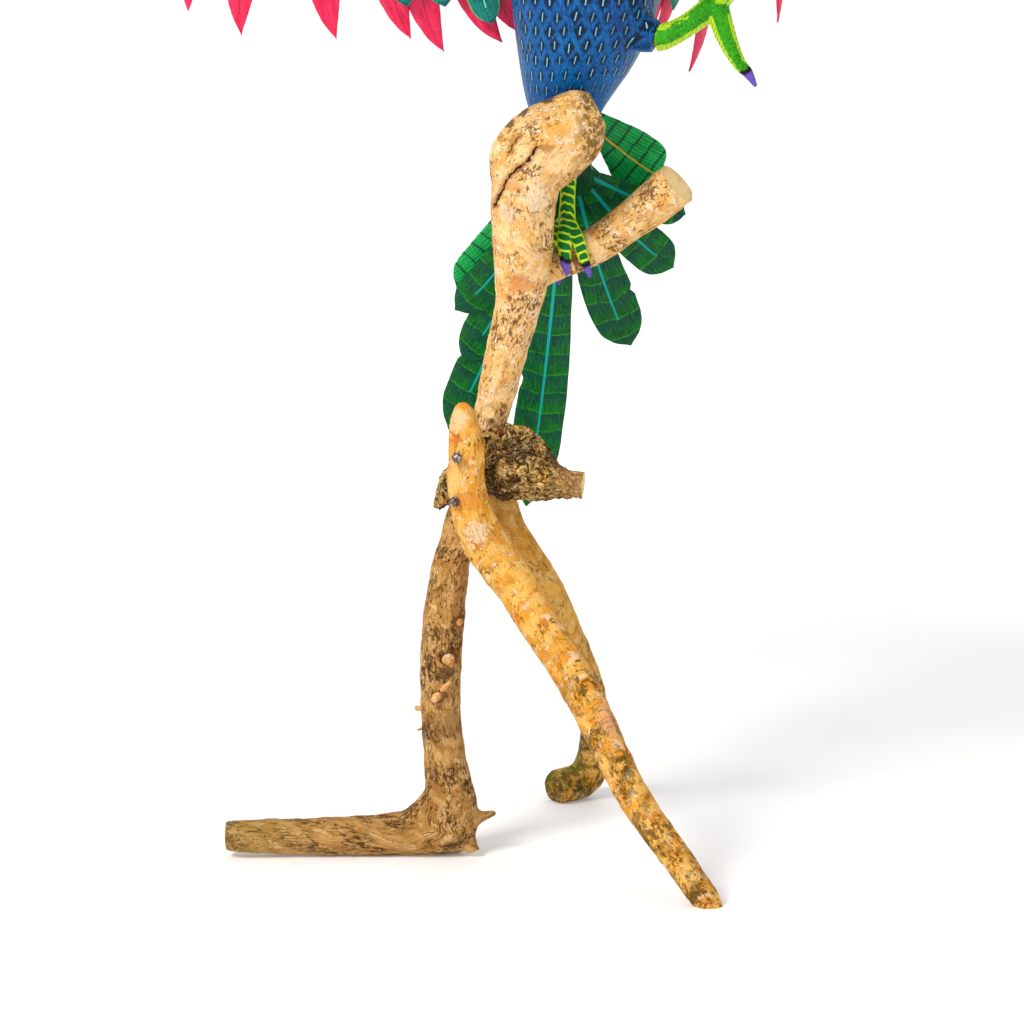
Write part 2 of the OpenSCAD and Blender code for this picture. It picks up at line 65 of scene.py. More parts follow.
class Tree:
    """Adds nodes to a shader or geometry tree and wires their inputs."""

    def __init__(self, tree):
        self.tree = tree

    def add(self, kind, feeds=None, **settings):
        node = self.tree.nodes.new(kind)
        for name, value in settings.items():
            setattr(node, name, value)
        for key, value in (feeds or {}).items():
            socket = node.inputs[key]
            if isinstance(value, bpy.types.NodeSocket):
                self.tree.links.new(value, socket)
            else:
                socket.default_value = value
        return node

    def math(self, operation, a, b=0.0, c=0.0):
        return self.add("ShaderNodeMath", {0: a, 1: b, 2: c}, operation=operation).outputs[0]

    def attribute(self, name):
        return self.add("ShaderNodeAttribute", attribute_name=name).outputs["Vector"]

    def number(self, name):
        return self.add("ShaderNodeAttribute", attribute_name=name).outputs["Fac"]

    def scaled(self, vector, size):
        return self.add("ShaderNodeVectorMath", {0: vector, 1: size}, operation="MULTIPLY").outputs[0]

    def moved(self, vector, step):
        return self.add("ShaderNodeVectorMath", {0: vector, 1: step}, operation="ADD").outputs[0]

    def parts(self, vector):
        return self.add("ShaderNodeSeparateXYZ", {0: vector}).outputs

    def vector(self, x, y, z):
        return self.add("ShaderNodeCombineXYZ", {0: x, 1: y, 2: z}).outputs[0]

    def noise(self, place, scale=1.0, detail=3.0, roughness=0.55, distortion=0.0):
        return self.add("ShaderNodeTexNoise", {
            "Vector": place, "Scale": scale, "Detail": detail, "Roughness": roughness,
            "Distortion": distortion}).outputs[0]

    def cells(self, place, scale=1.0, feature="F1", output="Distance"):
        return self.add("ShaderNodeTexVoronoi", {"Vector": place, "Scale": scale},
                        feature=feature).outputs[output]

    def rise(self, value, low, high):
        """0 below low and 1 above high, or the other way round where low is the larger."""
        return self.add("ShaderNodeMapRange", {"Value": value, "From Min": low, "From Max": high},
                        interpolation_type="SMOOTHSTEP").outputs[0]

    def span(self, value, low, high, to_low, to_high):
        return self.add("ShaderNodeMapRange", {
            "Value": value, "From Min": low, "From Max": high, "To Min": to_low,
            "To Max": to_high}).outputs[0]

    def mix(self, share, first, second):
        return self.add("ShaderNodeMix", {0: share, 6: first, 7: second}, data_type="RGBA").outputs[2]

    def ramp(self, share, *stops):
        node = self.add("ShaderNodeValToRGB", {0: share})
        steps = node.color_ramp.elements
        while len(steps) < len(stops):
            steps.new(0.5)
        for step, (place, colour) in zip(steps, stops):
            step.position = place
            step.color = colour
        return node.outputs[0]


def shader_group(name, inputs, outputs):
    """An empty shader node group with named inputs and outputs, and its wiring helper."""
    tree = bpy.data.node_groups.new(name, "ShaderNodeTree")
    for kind, label, start in inputs:
        socket = tree.interface.new_socket(label, in_out="INPUT", socket_type="NodeSocket" + kind)
        if start is not None:
            socket.default_value = start
    for kind, label in outputs:
        tree.interface.new_socket(label, in_out="OUTPUT", socket_type="NodeSocket" + kind)
    wires = Tree(tree)
    given = wires.add("NodeGroupInput").outputs
    result = wires.add("NodeGroupOutput").inputs
    return tree, wires, given, result


def place_group(wires, tree, feeds):
    """Puts a shader node group in a material with these input values, and gives its outputs."""
    node = wires.tree.nodes.new("ShaderNodeGroup")
    node.node_tree = tree
    for key, value in feeds.items():
        if isinstance(value, bpy.types.NodeSocket):
            wires.tree.links.new(value, node.inputs[key])
        else:
            node.inputs[key].default_value = value
    return node.outputs


def new_material(name, coat=0.0, coat_roughness=0.3, specular=0.16):
    """A material with its Principled shader, whose uniform values are set on its own sockets."""
    material = bpy.data.materials.new(name)
    material.use_nodes = True
    wires = Tree(material.node_tree)
    shader = material.node_tree.nodes["Principled BSDF"]
    shader.inputs["Coat Weight"].default_value = coat
    shader.inputs["Coat Roughness"].default_value = coat_roughness
    shader.inputs["Specular IOR Level"].default_value = specular
    return material, wires, shader


def finish_material(wires, shader, colour, roughness, height=None, depth=0.0002, strength=0.6):
    wires.tree.links.new(colour, shader.inputs["Base Color"])
    wires.tree.links.new(roughness, shader.inputs["Roughness"])
    if height is not None:
        bump = wires.add("ShaderNodeBump", {"Height": height, "Distance": depth, "Strength": strength})
        wires.tree.links.new(bump.outputs[0], shader.inputs["Normal"])


# ------------------------------------------------------------------ meshes

def link(piece):
    bpy.context.scene.collection.objects.link(piece)
    return piece


def merged_mesh(node):
    """A CAD node's mesh with its loose triangles joined and nothing else changed."""
    mesh = bpy.data.meshes.new(node)
    bm = bmesh.new()
    bm.from_mesh(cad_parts[node].data)
    bmesh.ops.remove_doubles(bm, verts=bm.verts, dist=0.01 * MM)
    bm.to_mesh(mesh)
    bm.free()
    return mesh


def points_of(mesh):
    places = np.empty(len(mesh.vertices) * 3)
    mesh.vertices.foreach_get("co", places)
    return places.reshape(-1, 3)


def put_points(mesh, places):
    mesh.vertices.foreach_set("co", places.ravel())
    mesh.update()


def edges_of(mesh):
    pairs = np.empty(len(mesh.edges) * 2, dtype=np.int64)
    mesh.edges.foreach_get("vertices", pairs)
    return pairs.reshape(-1, 2)


def normals_of(mesh):
    ways = np.empty(len(mesh.vertices) * 3)
    mesh.vertex_normals.foreach_get("vector", ways)
    return ways.reshape(-1, 3)


def put_vector(mesh, name, values):
    mesh.attributes.new(name, "FLOAT_VECTOR", "POINT").data.foreach_set("vector", np.ravel(values))


def put_number(mesh, name, values):
    mesh.attributes.new(name, "FLOAT", "POINT").data.foreach_set("value", np.ravel(values))


def mesh_from(name, places, faces):
    mesh = bpy.data.meshes.new(name)
    mesh.from_pydata([tuple(place) for place in places], [], faces)
    mesh.update()
    return mesh


def settle(piece):
    """Turns what a piece's modifiers make into its plain mesh."""
    depsgraph = bpy.context.evaluated_depsgraph_get()
    mesh = bpy.data.meshes.new_from_object(piece.evaluated_get(depsgraph))
    piece.modifiers.clear()
    piece.data = mesh
    return piece


def smooth_shaded(piece):
    piece.data.polygons.foreach_set("use_smooth", [True] * len(piece.data.polygons))
    return piece


def remeshed(node, name, voxel, rounds):
    """A fine even skin over a CAD node's shape, with its facets smoothed away."""
    piece = link(bpy.data.objects.new(name, merged_mesh(node)))
    skin = piece.modifiers.new("even skin", "REMESH")
    skin.mode = "VOXEL"
    skin.voxel_size = voxel
    ease = piece.modifiers.new("ease facets", "SMOOTH")
    ease.factor = 0.5
    ease.iterations = rounds
    return smooth_shaded(settle(piece))


def averaged(values, pairs, rounds):
    """Each vertex's value blended with its neighbours', again and again."""
    count = len(values)
    degree = np.bincount(pairs.ravel(), minlength=count)[:, None] + 1
    for _ in range(rounds):
        total = values.copy()
        for column in range(values.shape[1]):
            total[:, column] += np.bincount(pairs[:, 0], values[pairs[:, 1], column], count)
            total[:, column] += np.bincount(pairs[:, 1], values[pairs[:, 0], column], count)
        values = total / degree
    return values


def walk(places, pairs, starts):
    """The shortest way along a mesh's edges from any of the starts to each vertex."""
    steps = np.linalg.norm(places[pairs[:, 0]] - places[pairs[:, 1]], axis=1)
    near = [[] for _ in places]
    for (a, b), step in zip(pairs.tolist(), steps.tolist()):
        near[a].append((b, step))
        near[b].append((a, step))
    ways = np.full(len(places), np.inf)
    queue = [(0.0, int(start)) for start in starts]
    for _, start in queue:
        ways[start] = 0.0
    heapq.heapify(queue)
    while queue:
        way, here = heapq.heappop(queue)
        if way > ways[here]:
            continue
        for there, step in near[here]:
            if way + step < ways[there]:
                ways[there] = way + step
                heapq.heappush(queue, (way + step, there))
    return ways


def loops_by_length(along, pairs, width):
    """Labels each vertex with its own loop round a limb: the same stretch of length, and joined by edges."""
    slab = np.floor(along / width).astype(int)
    label = list(range(len(along)))

    def root(item):
        while label[item] != item:
            label[item] = label[label[item]]
            item = label[item]
        return item

    for a, b in pairs[slab[pairs[:, 0]] == slab[pairs[:, 1]]].tolist():
        label[root(a)] = root(b)
    roots = np.array([root(item) for item in range(len(along))])
    return np.unique(roots, return_inverse=True)[1]


def put_grain(piece, start, slab=3 * MM, rounds=14):
    """Stores, in mm, each vertex's place across a limb and its length along it, as "grain"."""
    mesh = piece.data
    places, pairs = points_of(mesh), edges_of(mesh)
    along = walk(places, pairs, [np.argmin(np.linalg.norm(places - np.array(start), axis=1))])
    loops = loops_by_length(along, pairs, slab)
    counts = np.bincount(loops)
    middles = np.stack([np.bincount(loops, places[:, axis]) / counts for axis in range(3)], axis=1)[loops]
    middles = averaged(middles, pairs, rounds)
    step = places[pairs[:, 1]] - places[pairs[:, 0]]
    climb = (along[pairs[:, 1]] - along[pairs[:, 0]])[:, None]
    way = np.zeros_like(places)
    for end in (0, 1):
        for axis in range(3):
            way[:, axis] += np.bincount(pairs[:, end], (step * climb)[:, axis], len(places))
    way = averaged(way, pairs, rounds)
    way /= np.linalg.norm(way, axis=1)[:, None] + 1e-12
    out = places - middles
    out -= (out * way).sum(1)[:, None] * way
    side = np.cross(np.array([0.1, 0.95, 0.2]), way)
    side /= np.linalg.norm(side, axis=1)[:, None] + 1e-12
    top = np.cross(way, side)
    grain = np.stack([(out * side).sum(1), (out * top).sum(1), along], axis=1) / MM
    put_vector(mesh, "grain", grain)
    return along


def flat_ends(node, least=30 * MM * MM):
    """The sawn ends of a CAD branch: each one's middle, its outward way and its radius."""
    bm = bmesh.new()
    bm.from_mesh(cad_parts[node].data)
    bmesh.ops.remove_doubles(bm, verts=bm.verts, dist=0.01 * MM)
    bmesh.ops.dissolve_limit(bm, angle_limit=math.radians(0.6), verts=bm.verts, edges=bm.edges)
    ends = []
    for face in bm.faces:
        if len(face.verts) >= 8 and face.calc_area() > least:
            middle = face.calc_center_median()
            reach = max((vertex.co - middle).length for vertex in face.verts)
            if face.calc_area() > 0.35 * math.pi * reach**2:
                ends.append((np.array(middle), np.array(face.normal), reach))
    bm.free()
    return ends


def put_ends(piece, ends, skin=0.7 * MM):
    """Marks sawn ends with "cut", and their year rings' radius in mm with "ring"."""
    places = points_of(piece.data)
    ways = normals_of(piece.data)
    cut = np.zeros(len(places))
    ring = np.zeros(len(places))
    for middle, way, reach in ends:
        offset = places - middle
        height = offset @ way
        radial = np.linalg.norm(offset - height[:, None] * way, axis=1)
        facing = np.clip((ways @ way - 0.75) / 0.15, 0, 1)
        here = np.clip((height + 1.3 * MM) / skin, 0, 1) * facing * (radial < reach + MM) * (height < MM)
        ring = np.where(here > cut, radial / MM, ring)
        cut = np.maximum(cut, here)
    put_number(piece.data, "cut", cut)
    put_number(piece.data, "ring", ring)
    return cut


# ------------------------------------------------------------------ geometry trees

def geometry_tree(name, inputs):
    """An empty Geometry Nodes tree with named inputs."""
    tree = bpy.data.node_groups.new(name, "GeometryNodeTree")
    tree.interface.new_socket("Geometry", in_out="INPUT", socket_type="NodeSocketGeometry")
    for kind, label, start in inputs:
        socket = tree.interface.new_socket(label, in_out="INPUT", socket_type="NodeSocket" + kind)
        if start is not None:
            socket.default_value = start
    tree.interface.new_socket("Geometry", in_out="OUTPUT", socket_type="NodeSocketGeometry")
    wires = Tree(tree)
    return tree, wires, wires.add("NodeGroupInput").outputs, wires.add("NodeGroupOutput").inputs


def run_geometry(piece, tree, values):
    """Runs a Geometry Nodes tree on a piece with these input values, and keeps the mesh."""
    modifier = piece.modifiers.new(tree.name, "NODES")
    modifier.node_group = tree
    for item in tree.interface.items_tree:
        if item.in_out == "INPUT" and item.name in values:
            modifier[item.identifier] = values[item.name]
    return settle(piece)


def make_relief_tree():
    """Pushes a branch's skin in and out along its grain: broad lumps, long ridges and small pits."""
    tree, wires, given, result = geometry_tree("bark relief", [
        ("Float", "Lump depth", 0.0006), ("Float", "Lump size", 14.0), ("Float", "Ridge depth", 0.0003),
        ("Float", "Ridge width", 2.5), ("Float", "Ridge length", 18.0), ("Float", "Pit depth", 0.0003),
        ("Float", "Twist", 0.5), ("Int", "Seed", 1), ("Material", "Material", None)])
    grain = wires.add("GeometryNodeInputNamedAttribute", {"Name": "grain"},
                      data_type="FLOAT_VECTOR").outputs[0]
    cut = wires.add("GeometryNodeInputNamedAttribute", {"Name": "cut"}, data_type="FLOAT").outputs[0]

    def rough(place, scale, detail, distortion=0.0):
        node = wires.add("ShaderNodeTexNoise", {
            "Vector": place, "W": given["Seed"], "Scale": scale, "Detail": detail, "Distortion": distortion},
            noise_dimensions="4D")
        return wires.math("SUBTRACT", node.outputs[0], 0.5)

    lumps = rough(grain, wires.math("DIVIDE", 1.0, given["Lump size"]), 1.0)
    squeeze = wires.vector(1.0, 1.0, wires.math("DIVIDE", given["Ridge width"], given["Ridge length"]))
    drawn = wires.scaled(grain, squeeze)
    ridges = rough(drawn, wires.math("DIVIDE", 1.0, given["Ridge width"]), 4.0, given["Twist"])
    pits = wires.rise(rough(grain, 0.35, 3.0), 0.12, 0.25)
    push = wires.math("MULTIPLY", lumps, given["Lump depth"])
    push = wires.math("MULTIPLY_ADD", ridges, given["Ridge depth"], push)
    push = wires.math("SUBTRACT", push, wires.math("MULTIPLY", pits, given["Pit depth"]))
    push = wires.math("MULTIPLY", push, wires.math("SUBTRACT", 1.0, cut))
    normal = wires.add("GeometryNodeInputNormal").outputs[0]
    offset = wires.add("ShaderNodeVectorMath", {0: normal, "Scale": push}, operation="SCALE").outputs[0]
    moved = wires.add("GeometryNodeSetPosition", {"Geometry": given["Geometry"], "Offset": offset}).outputs[0]
    real = wires.add("GeometryNodeRealizeInstances", {0: moved}).outputs[0]
    dressed = wires.add("GeometryNodeSetMaterial",
                        {"Geometry": real, "Material": given["Material"]}).outputs[0]
    wires.tree.links.new(dressed, result[0])
    return tree


def make_nail_tree():
    """One nail for each point of its input: a domed head on a straight shank, pointing along "aim"."""
    tree, wires, given, result = geometry_tree("round head nails", [
        ("Float", "Head radius", 0.0029), ("Float", "Head height", 0.0024), ("Float", "Shank radius", 0.0012),
        ("Float", "Shank length", 0.03), ("Material", "Material", None)])
    ball = wires.add("GeometryNodeMeshUVSphere", {"Segments": 28, "Rings": 20, "Radius": 1.0}).outputs[0]
    x, y, z = wires.parts(wires.add("GeometryNodeInputPosition").outputs[0])
    shape = wires.vector(
        wires.math("MULTIPLY", x, given["Head radius"]), wires.math("MULTIPLY", y, given["Head radius"]),
        wires.math("MULTIPLY", wires.math("MAXIMUM", z, -0.12), given["Head height"]))
    head = wires.add("GeometryNodeSetPosition", {"Geometry": ball, "Position": shape}).outputs[0]
    shank = wires.add("GeometryNodeMeshCylinder", {
        "Vertices": 16, "Radius": given["Shank radius"], "Depth": given["Shank length"]}).outputs[0]
    drop = wires.math("MULTIPLY", given["Shank length"], -0.5)
    shank = wires.add("GeometryNodeTransform", {
        "Geometry": shank, "Translation": wires.vector(0.0, 0.0, drop)}).outputs[0]
    nail = wires.add("GeometryNodeJoinGeometry")
    wires.tree.links.new(head, nail.inputs[0])
    wires.tree.links.new(shank, nail.inputs[0])
    points = wires.add("GeometryNodeMeshToPoints", {"Mesh": given["Geometry"]}).outputs[0]
    aim = wires.add("GeometryNodeInputNamedAttribute", {"Name": "aim"}, data_type="FLOAT_VECTOR").outputs[0]
    facing = wires.add("FunctionNodeAlignRotationToVector", {"Vector": aim}, axis="Z").outputs[0]
    placed = wires.add("GeometryNodeInstanceOnPoints", {
        "Points": points, "Instance": nail.outputs[0], "Rotation": facing}).outputs[0]
    real = wires.add("GeometryNodeRealizeInstances", {0: placed}).outputs[0]
    dressed = wires.add("GeometryNodeSetMaterial",
                        {"Geometry": real, "Material": given["Material"]}).outputs[0]
    wires.tree.links.new(dressed, result[0])
    return tree


def make_stub_tree():
    """A broken twig stub at each point of its input, along "aim" and as large as "size" says."""
    tree, wires, given, result = geometry_tree("twig stubs", [
        ("Float", "Taper", 0.35), ("Float", "Knobbliness", 0.3), ("Int", "Seed", 1),
        ("Material", "Material", None)])
    post = wires.add("GeometryNodeMeshCylinder", {
        "Vertices": 18, "Side Segments": 7, "Fill Segments": 2, "Radius": 1.0, "Depth": 2.0}).outputs[0]
    place = wires.add("GeometryNodeInputPosition").outputs[0]
    x, y, z = wires.parts(place)
    narrow = wires.math("SUBTRACT", 1.0, wires.math("MULTIPLY", wires.math("ADD", z, 1.0), given["Taper"]))
    rough = wires.add("ShaderNodeTexNoise", {
        "Vector": place, "W": given["Seed"], "Scale": 1.3, "Detail": 2.0}, noise_dimensions="4D").outputs[0]
    narrow = wires.math("MULTIPLY", narrow, wires.math("MULTIPLY_ADD", rough, given["Knobbliness"], 0.85))
    shape = wires.vector(wires.math("MULTIPLY", x, narrow), wires.math("MULTIPLY", y, narrow), z)
    stub = wires.add("GeometryNodeSetPosition", {"Geometry": post, "Position": shape}).outputs[0]
    points = wires.add("GeometryNodeMeshToPoints", {"Mesh": given["Geometry"]}).outputs[0]
    aim = wires.add("GeometryNodeInputNamedAttribute", {"Name": "aim"}, data_type="FLOAT_VECTOR").outputs[0]
    size = wires.add("GeometryNodeInputNamedAttribute", {"Name": "size"}, data_type="FLOAT_VECTOR").outputs[0]
    facing = wires.add("FunctionNodeAlignRotationToVector", {"Vector": aim}, axis="Z").outputs[0]
    placed = wires.add("GeometryNodeInstanceOnPoints", {
        "Points": points, "Instance": stub, "Rotation": facing, "Scale": size}).outputs[0]
    real = wires.add("GeometryNodeRealizeInstances", {0: placed}).outputs[0]
    dressed = wires.add("GeometryNodeSetMaterial",
                        {"Geometry": real, "Material": given["Material"]}).outputs[0]
    wires.tree.links.new(dressed, result[0])
    return tree


def make_feather_tree():
    """Carves a plain blade: a raised shaft, shallow barb grooves and an edge that isn't quite true."""
    tree, wires, given, result = geometry_tree("feather carving", [
        ("Float", "Shaft height", 0.00025), ("Float", "Shaft width", 1.2), ("Float", "Barb depth", 0.00008),
        ("Float", "Barb pitch", 1.6), ("Float", "Barb slant", 1.1), ("Float", "Ripple", 0.0004),
        ("Int", "Seed", 1), ("Material", "Material", None)])
    blade = wires.add("GeometryNodeInputNamedAttribute", {"Name": "blade"},
                      data_type="FLOAT_VECTOR").outputs[0]
    x, y, share = wires.parts(blade)
    out = wires.math("ABSOLUTE", x)
    shaft = wires.math("MULTIPLY", wires.rise(out, given["Shaft width"], 0.0), wires.rise(share, 0.95, 0.7))
    wave = wires.math("SUBTRACT", y, wires.math("MULTIPLY", out, given["Barb slant"]))
    wave = wires.math("SINE",
                      wires.math("MULTIPLY", wires.math("DIVIDE", wave, given["Barb pitch"]), math.tau))
    push = wires.math("MULTIPLY", shaft, given["Shaft height"])
    push = wires.math("MULTIPLY_ADD", wave, given["Barb depth"], push)
    slow = wires.add("ShaderNodeTexNoise", {
        "Vector": blade, "W": given["Seed"], "Scale": 0.12, "Detail": 1.0}, noise_dimensions="4D").outputs[0]
    push = wires.math("MULTIPLY_ADD", wires.math("SUBTRACT", slow, 0.5), given["Ripple"], push)
    normal = wires.add("GeometryNodeInputNormal").outputs[0]
    offset = wires.add("ShaderNodeVectorMath", {0: normal, "Scale": push}, operation="SCALE").outputs[0]
    moved = wires.add("GeometryNodeSetPosition", {"Geometry": given["Geometry"], "Offset": offset}).outputs[0]
    real = wires.add("GeometryNodeRealizeInstances", {0: moved}).outputs[0]
    dressed = wires.add("GeometryNodeSetMaterial",
                        {"Geometry": real, "Material": given["Material"]}).outputs[0]
    wires.tree.links.new(dressed, result[0])
    return tree


# ------------------------------------------------------------------ effects that several finishes share

def make_branch_skin():
    """Weathered wood or thin bark: soft patches, fine grain along the branch, dark flecks and fissures."""
    tree, wires, given, result = shader_group("branch skin", [
        ("Vector", "Grain place", None), ("Color", "Pale", None), ("Color", "Warm", None),
        ("Color", "Dark", None),
        ("Color", "Rust", None), ("Color", "Chip", None), ("Float", "Patch size", 11.0),
        ("Float", "Fleck cover", 0.3), ("Float", "Fleck size", 2.4),
        ("Float", "Fissures", 0.5), ("Float", "Streaks", 0.4), ("Float", "Sawn end", 0.0),
        ("Float", "Ring radius", 0.0),
        ("Color", "Sawn wood", None)],
        [("Color", "Colour"), ("Float", "Roughness"), ("Float", "Height"), ("Float", "Flecks")])
    place = given["Grain place"]
    broad = wires.noise(place, wires.math("DIVIDE", 1.0, given["Patch size"]), 3.0, 0.6, 0.4)
    colour = wires.mix(wires.rise(broad, 0.38, 0.64), given["Pale"], given["Warm"])
    drawn = wires.scaled(place, (1.0, 1.0, 0.14))
    streak = wires.noise(drawn, 1.1, 4.0, 0.6, 0.3)
    shade = wires.math("MULTIPLY", wires.rise(streak, 0.5, 0.74), given["Streaks"])
    colour = wires.mix(shade, colour, given["Dark"])
    rust = wires.rise(wires.noise(wires.moved(place, (9.0, 41.0, 5.0)), 0.15, 5.0, 0.7), 0.54, 0.61)
    colour = wires.mix(wires.math("MULTIPLY", rust, 0.62), colour, given["Rust"])
    chip = wires.rise(wires.noise(wires.moved(place, (71.0, 3.0, 27.0)), 0.17, 5.0, 0.68), 0.565, 0.59)
    colour = wires.mix(wires.math("MULTIPLY", chip, 0.66), colour, given["Chip"])
    fine = wires.noise(wires.scaled(place, (1.0, 1.0, 0.5)), 1.5, 4.0, 0.68)
    colour = wires.mix(wires.math("MULTIPLY", wires.rise(fine, 0.5, 0.68), 0.42), colour, given["Rust"])
    small = wires.noise(wires.scaled(place, (1.0, 1.0, 0.55)),
                        wires.math("DIVIDE", 1.0, given["Fleck size"]), 5.0,
                        0.72, 0.6)
    where = wires.noise(wires.moved(place, (31.0, 7.0, 11.0)), 0.06, 2.0, 0.5)
    level = wires.math("SUBTRACT", 0.86,
                       wires.math("MULTIPLY", wires.math("ADD", where, 0.1), given["Fleck cover"]))
    flecks = wires.rise(small, level, wires.math("ADD", level, 0.07))
    colour = wires.mix(wires.math("MULTIPLY", flecks, 0.86), colour, given["Dark"])
    split = wires.cells(wires.scaled(place, (0.42, 0.42, 0.055)), 1.0, "DISTANCE_TO_EDGE")
    patchy = wires.rise(wires.noise(wires.moved(place, (3.0, 5.0, 90.0)), 0.09, 1.0), 0.5, 0.62)
    split = wires.math("MULTIPLY", wires.math("MULTIPLY", wires.rise(split, 0.05, 0.0), patchy),
                       given["Fissures"])
    colour = wires.mix(split, colour, given["Dark"])
    rings = wires.math("SINE", wires.math("MULTIPLY_ADD", given["Ring radius"], 3.1,
                                          wires.noise(place, 0.25, 2.0)))
    sawn = wires.mix(wires.math("MULTIPLY", wires.rise(rings, 0.2, 1.0), 0.3), given["Sawn wood"],
                     given["Warm"])
    sawn = wires.mix(wires.rise(given["Ring radius"], 0.9, 0.2), sawn, given["Warm"])
    colour = wires.mix(given["Sawn end"], colour, sawn)
    height = wires.math("MULTIPLY_ADD", streak, 0.5, wires.math("MULTIPLY", fine, 0.35))
    height = wires.math("SUBTRACT", height, wires.math("MULTIPLY_ADD", flecks, 0.45, split))
    height = wires.math("SUBTRACT", height, wires.math("MULTIPLY", chip, 0.25))
    rough = wires.math("MULTIPLY_ADD", flecks, 0.2, wires.span(broad, 0.3, 0.7, 0.5, 0.66))
    for value, name in ((colour, "Colour"), (rough, "Roughness"), (height, "Height"), (flecks, "Flecks")):
        wires.tree.links.new(value, result[name])
    return tree


def make_brush_strokes():
    """Hand-laid paint: long thin strokes with more or less pigment, and the brush's faint ridges."""
    tree, wires, given, result = shader_group("brush strokes", [
        ("Vector", "Stroke place", None), ("Float", "Stroke width", 0.7), ("Float", "Stroke length", 14.0),
        ("Color", "Thin paint", None), ("Color", "Full paint", None), ("Float", "Gloss spread", 0.12)],
        [("Color", "Colour"), ("Float", "Roughness"), ("Float", "Height")])
    x, y, z = wires.parts(given["Stroke place"])
    place = wires.vector(wires.math("DIVIDE", x, given["Stroke width"]),
                         wires.math("DIVIDE", y, given["Stroke length"]), z)
    strokes = wires.noise(place, 1.0, 3.0, 0.6, 0.15)
    pool = wires.noise(given["Stroke place"], 0.09, 2.0, 0.5)
    amount = wires.math("MULTIPLY_ADD", strokes, 0.7, wires.math("MULTIPLY", pool, 0.3))
    colour = wires.mix(wires.rise(amount, 0.36, 0.64), given["Thin paint"], given["Full paint"])
    rough = wires.math("MULTIPLY_ADD", strokes, given["Gloss spread"], 0.36)
    wires.tree.links.new(colour, result["Colour"])
    wires.tree.links.new(rough, result["Roughness"])
    wires.tree.links.new(strokes, result["Height"])
    return tree


def make_barb_lines():
    """Fine painted barbs that fan out from a feather's shaft, each a little uneven."""
    tree, wires, given, result = shader_group("barb lines", [
        ("Vector", "Blade", None), ("Float", "Pitch", 1.5), ("Float", "Fan", 0.5),
        ("Float", "Line share", 0.25),
        ("Float", "Unevenness", 0.5)],
        [("Float", "Lines"), ("Float", "Height")])
    x, y, _ = wires.parts(given["Blade"])
    out = wires.math("ABSOLUTE", x)
    wobble = wires.math("SUBTRACT", wires.noise(wires.scaled(given["Blade"], (0.5, 0.11, 0.0)), 1.0, 3.0),
                        0.5)
    turned = wires.math("SUBTRACT", out, wires.math("MULTIPLY", y, given["Fan"]))
    phase = wires.math("MULTIPLY_ADD", wobble, given["Unevenness"],
                       wires.math("DIVIDE", turned, given["Pitch"]))
    wave = wires.math("ABSOLUTE", wires.math("MULTIPLY_ADD", wires.math("FRACT", phase), 2.0, -1.0))
    broken = wires.noise(wires.scaled(given["Blade"], (1.6, 0.16, 0.0)), 1.0, 2.0)
    edge = wires.math("MULTIPLY", given["Line share"], wires.span(broken, 0.3, 0.65, 0.2, 1.5))
    lines = wires.rise(wave, edge, wires.math("MULTIPLY", edge, 0.35))
    wires.tree.links.new(lines, result["Lines"])
    wires.tree.links.new(wave, result["Height"])
    return tree


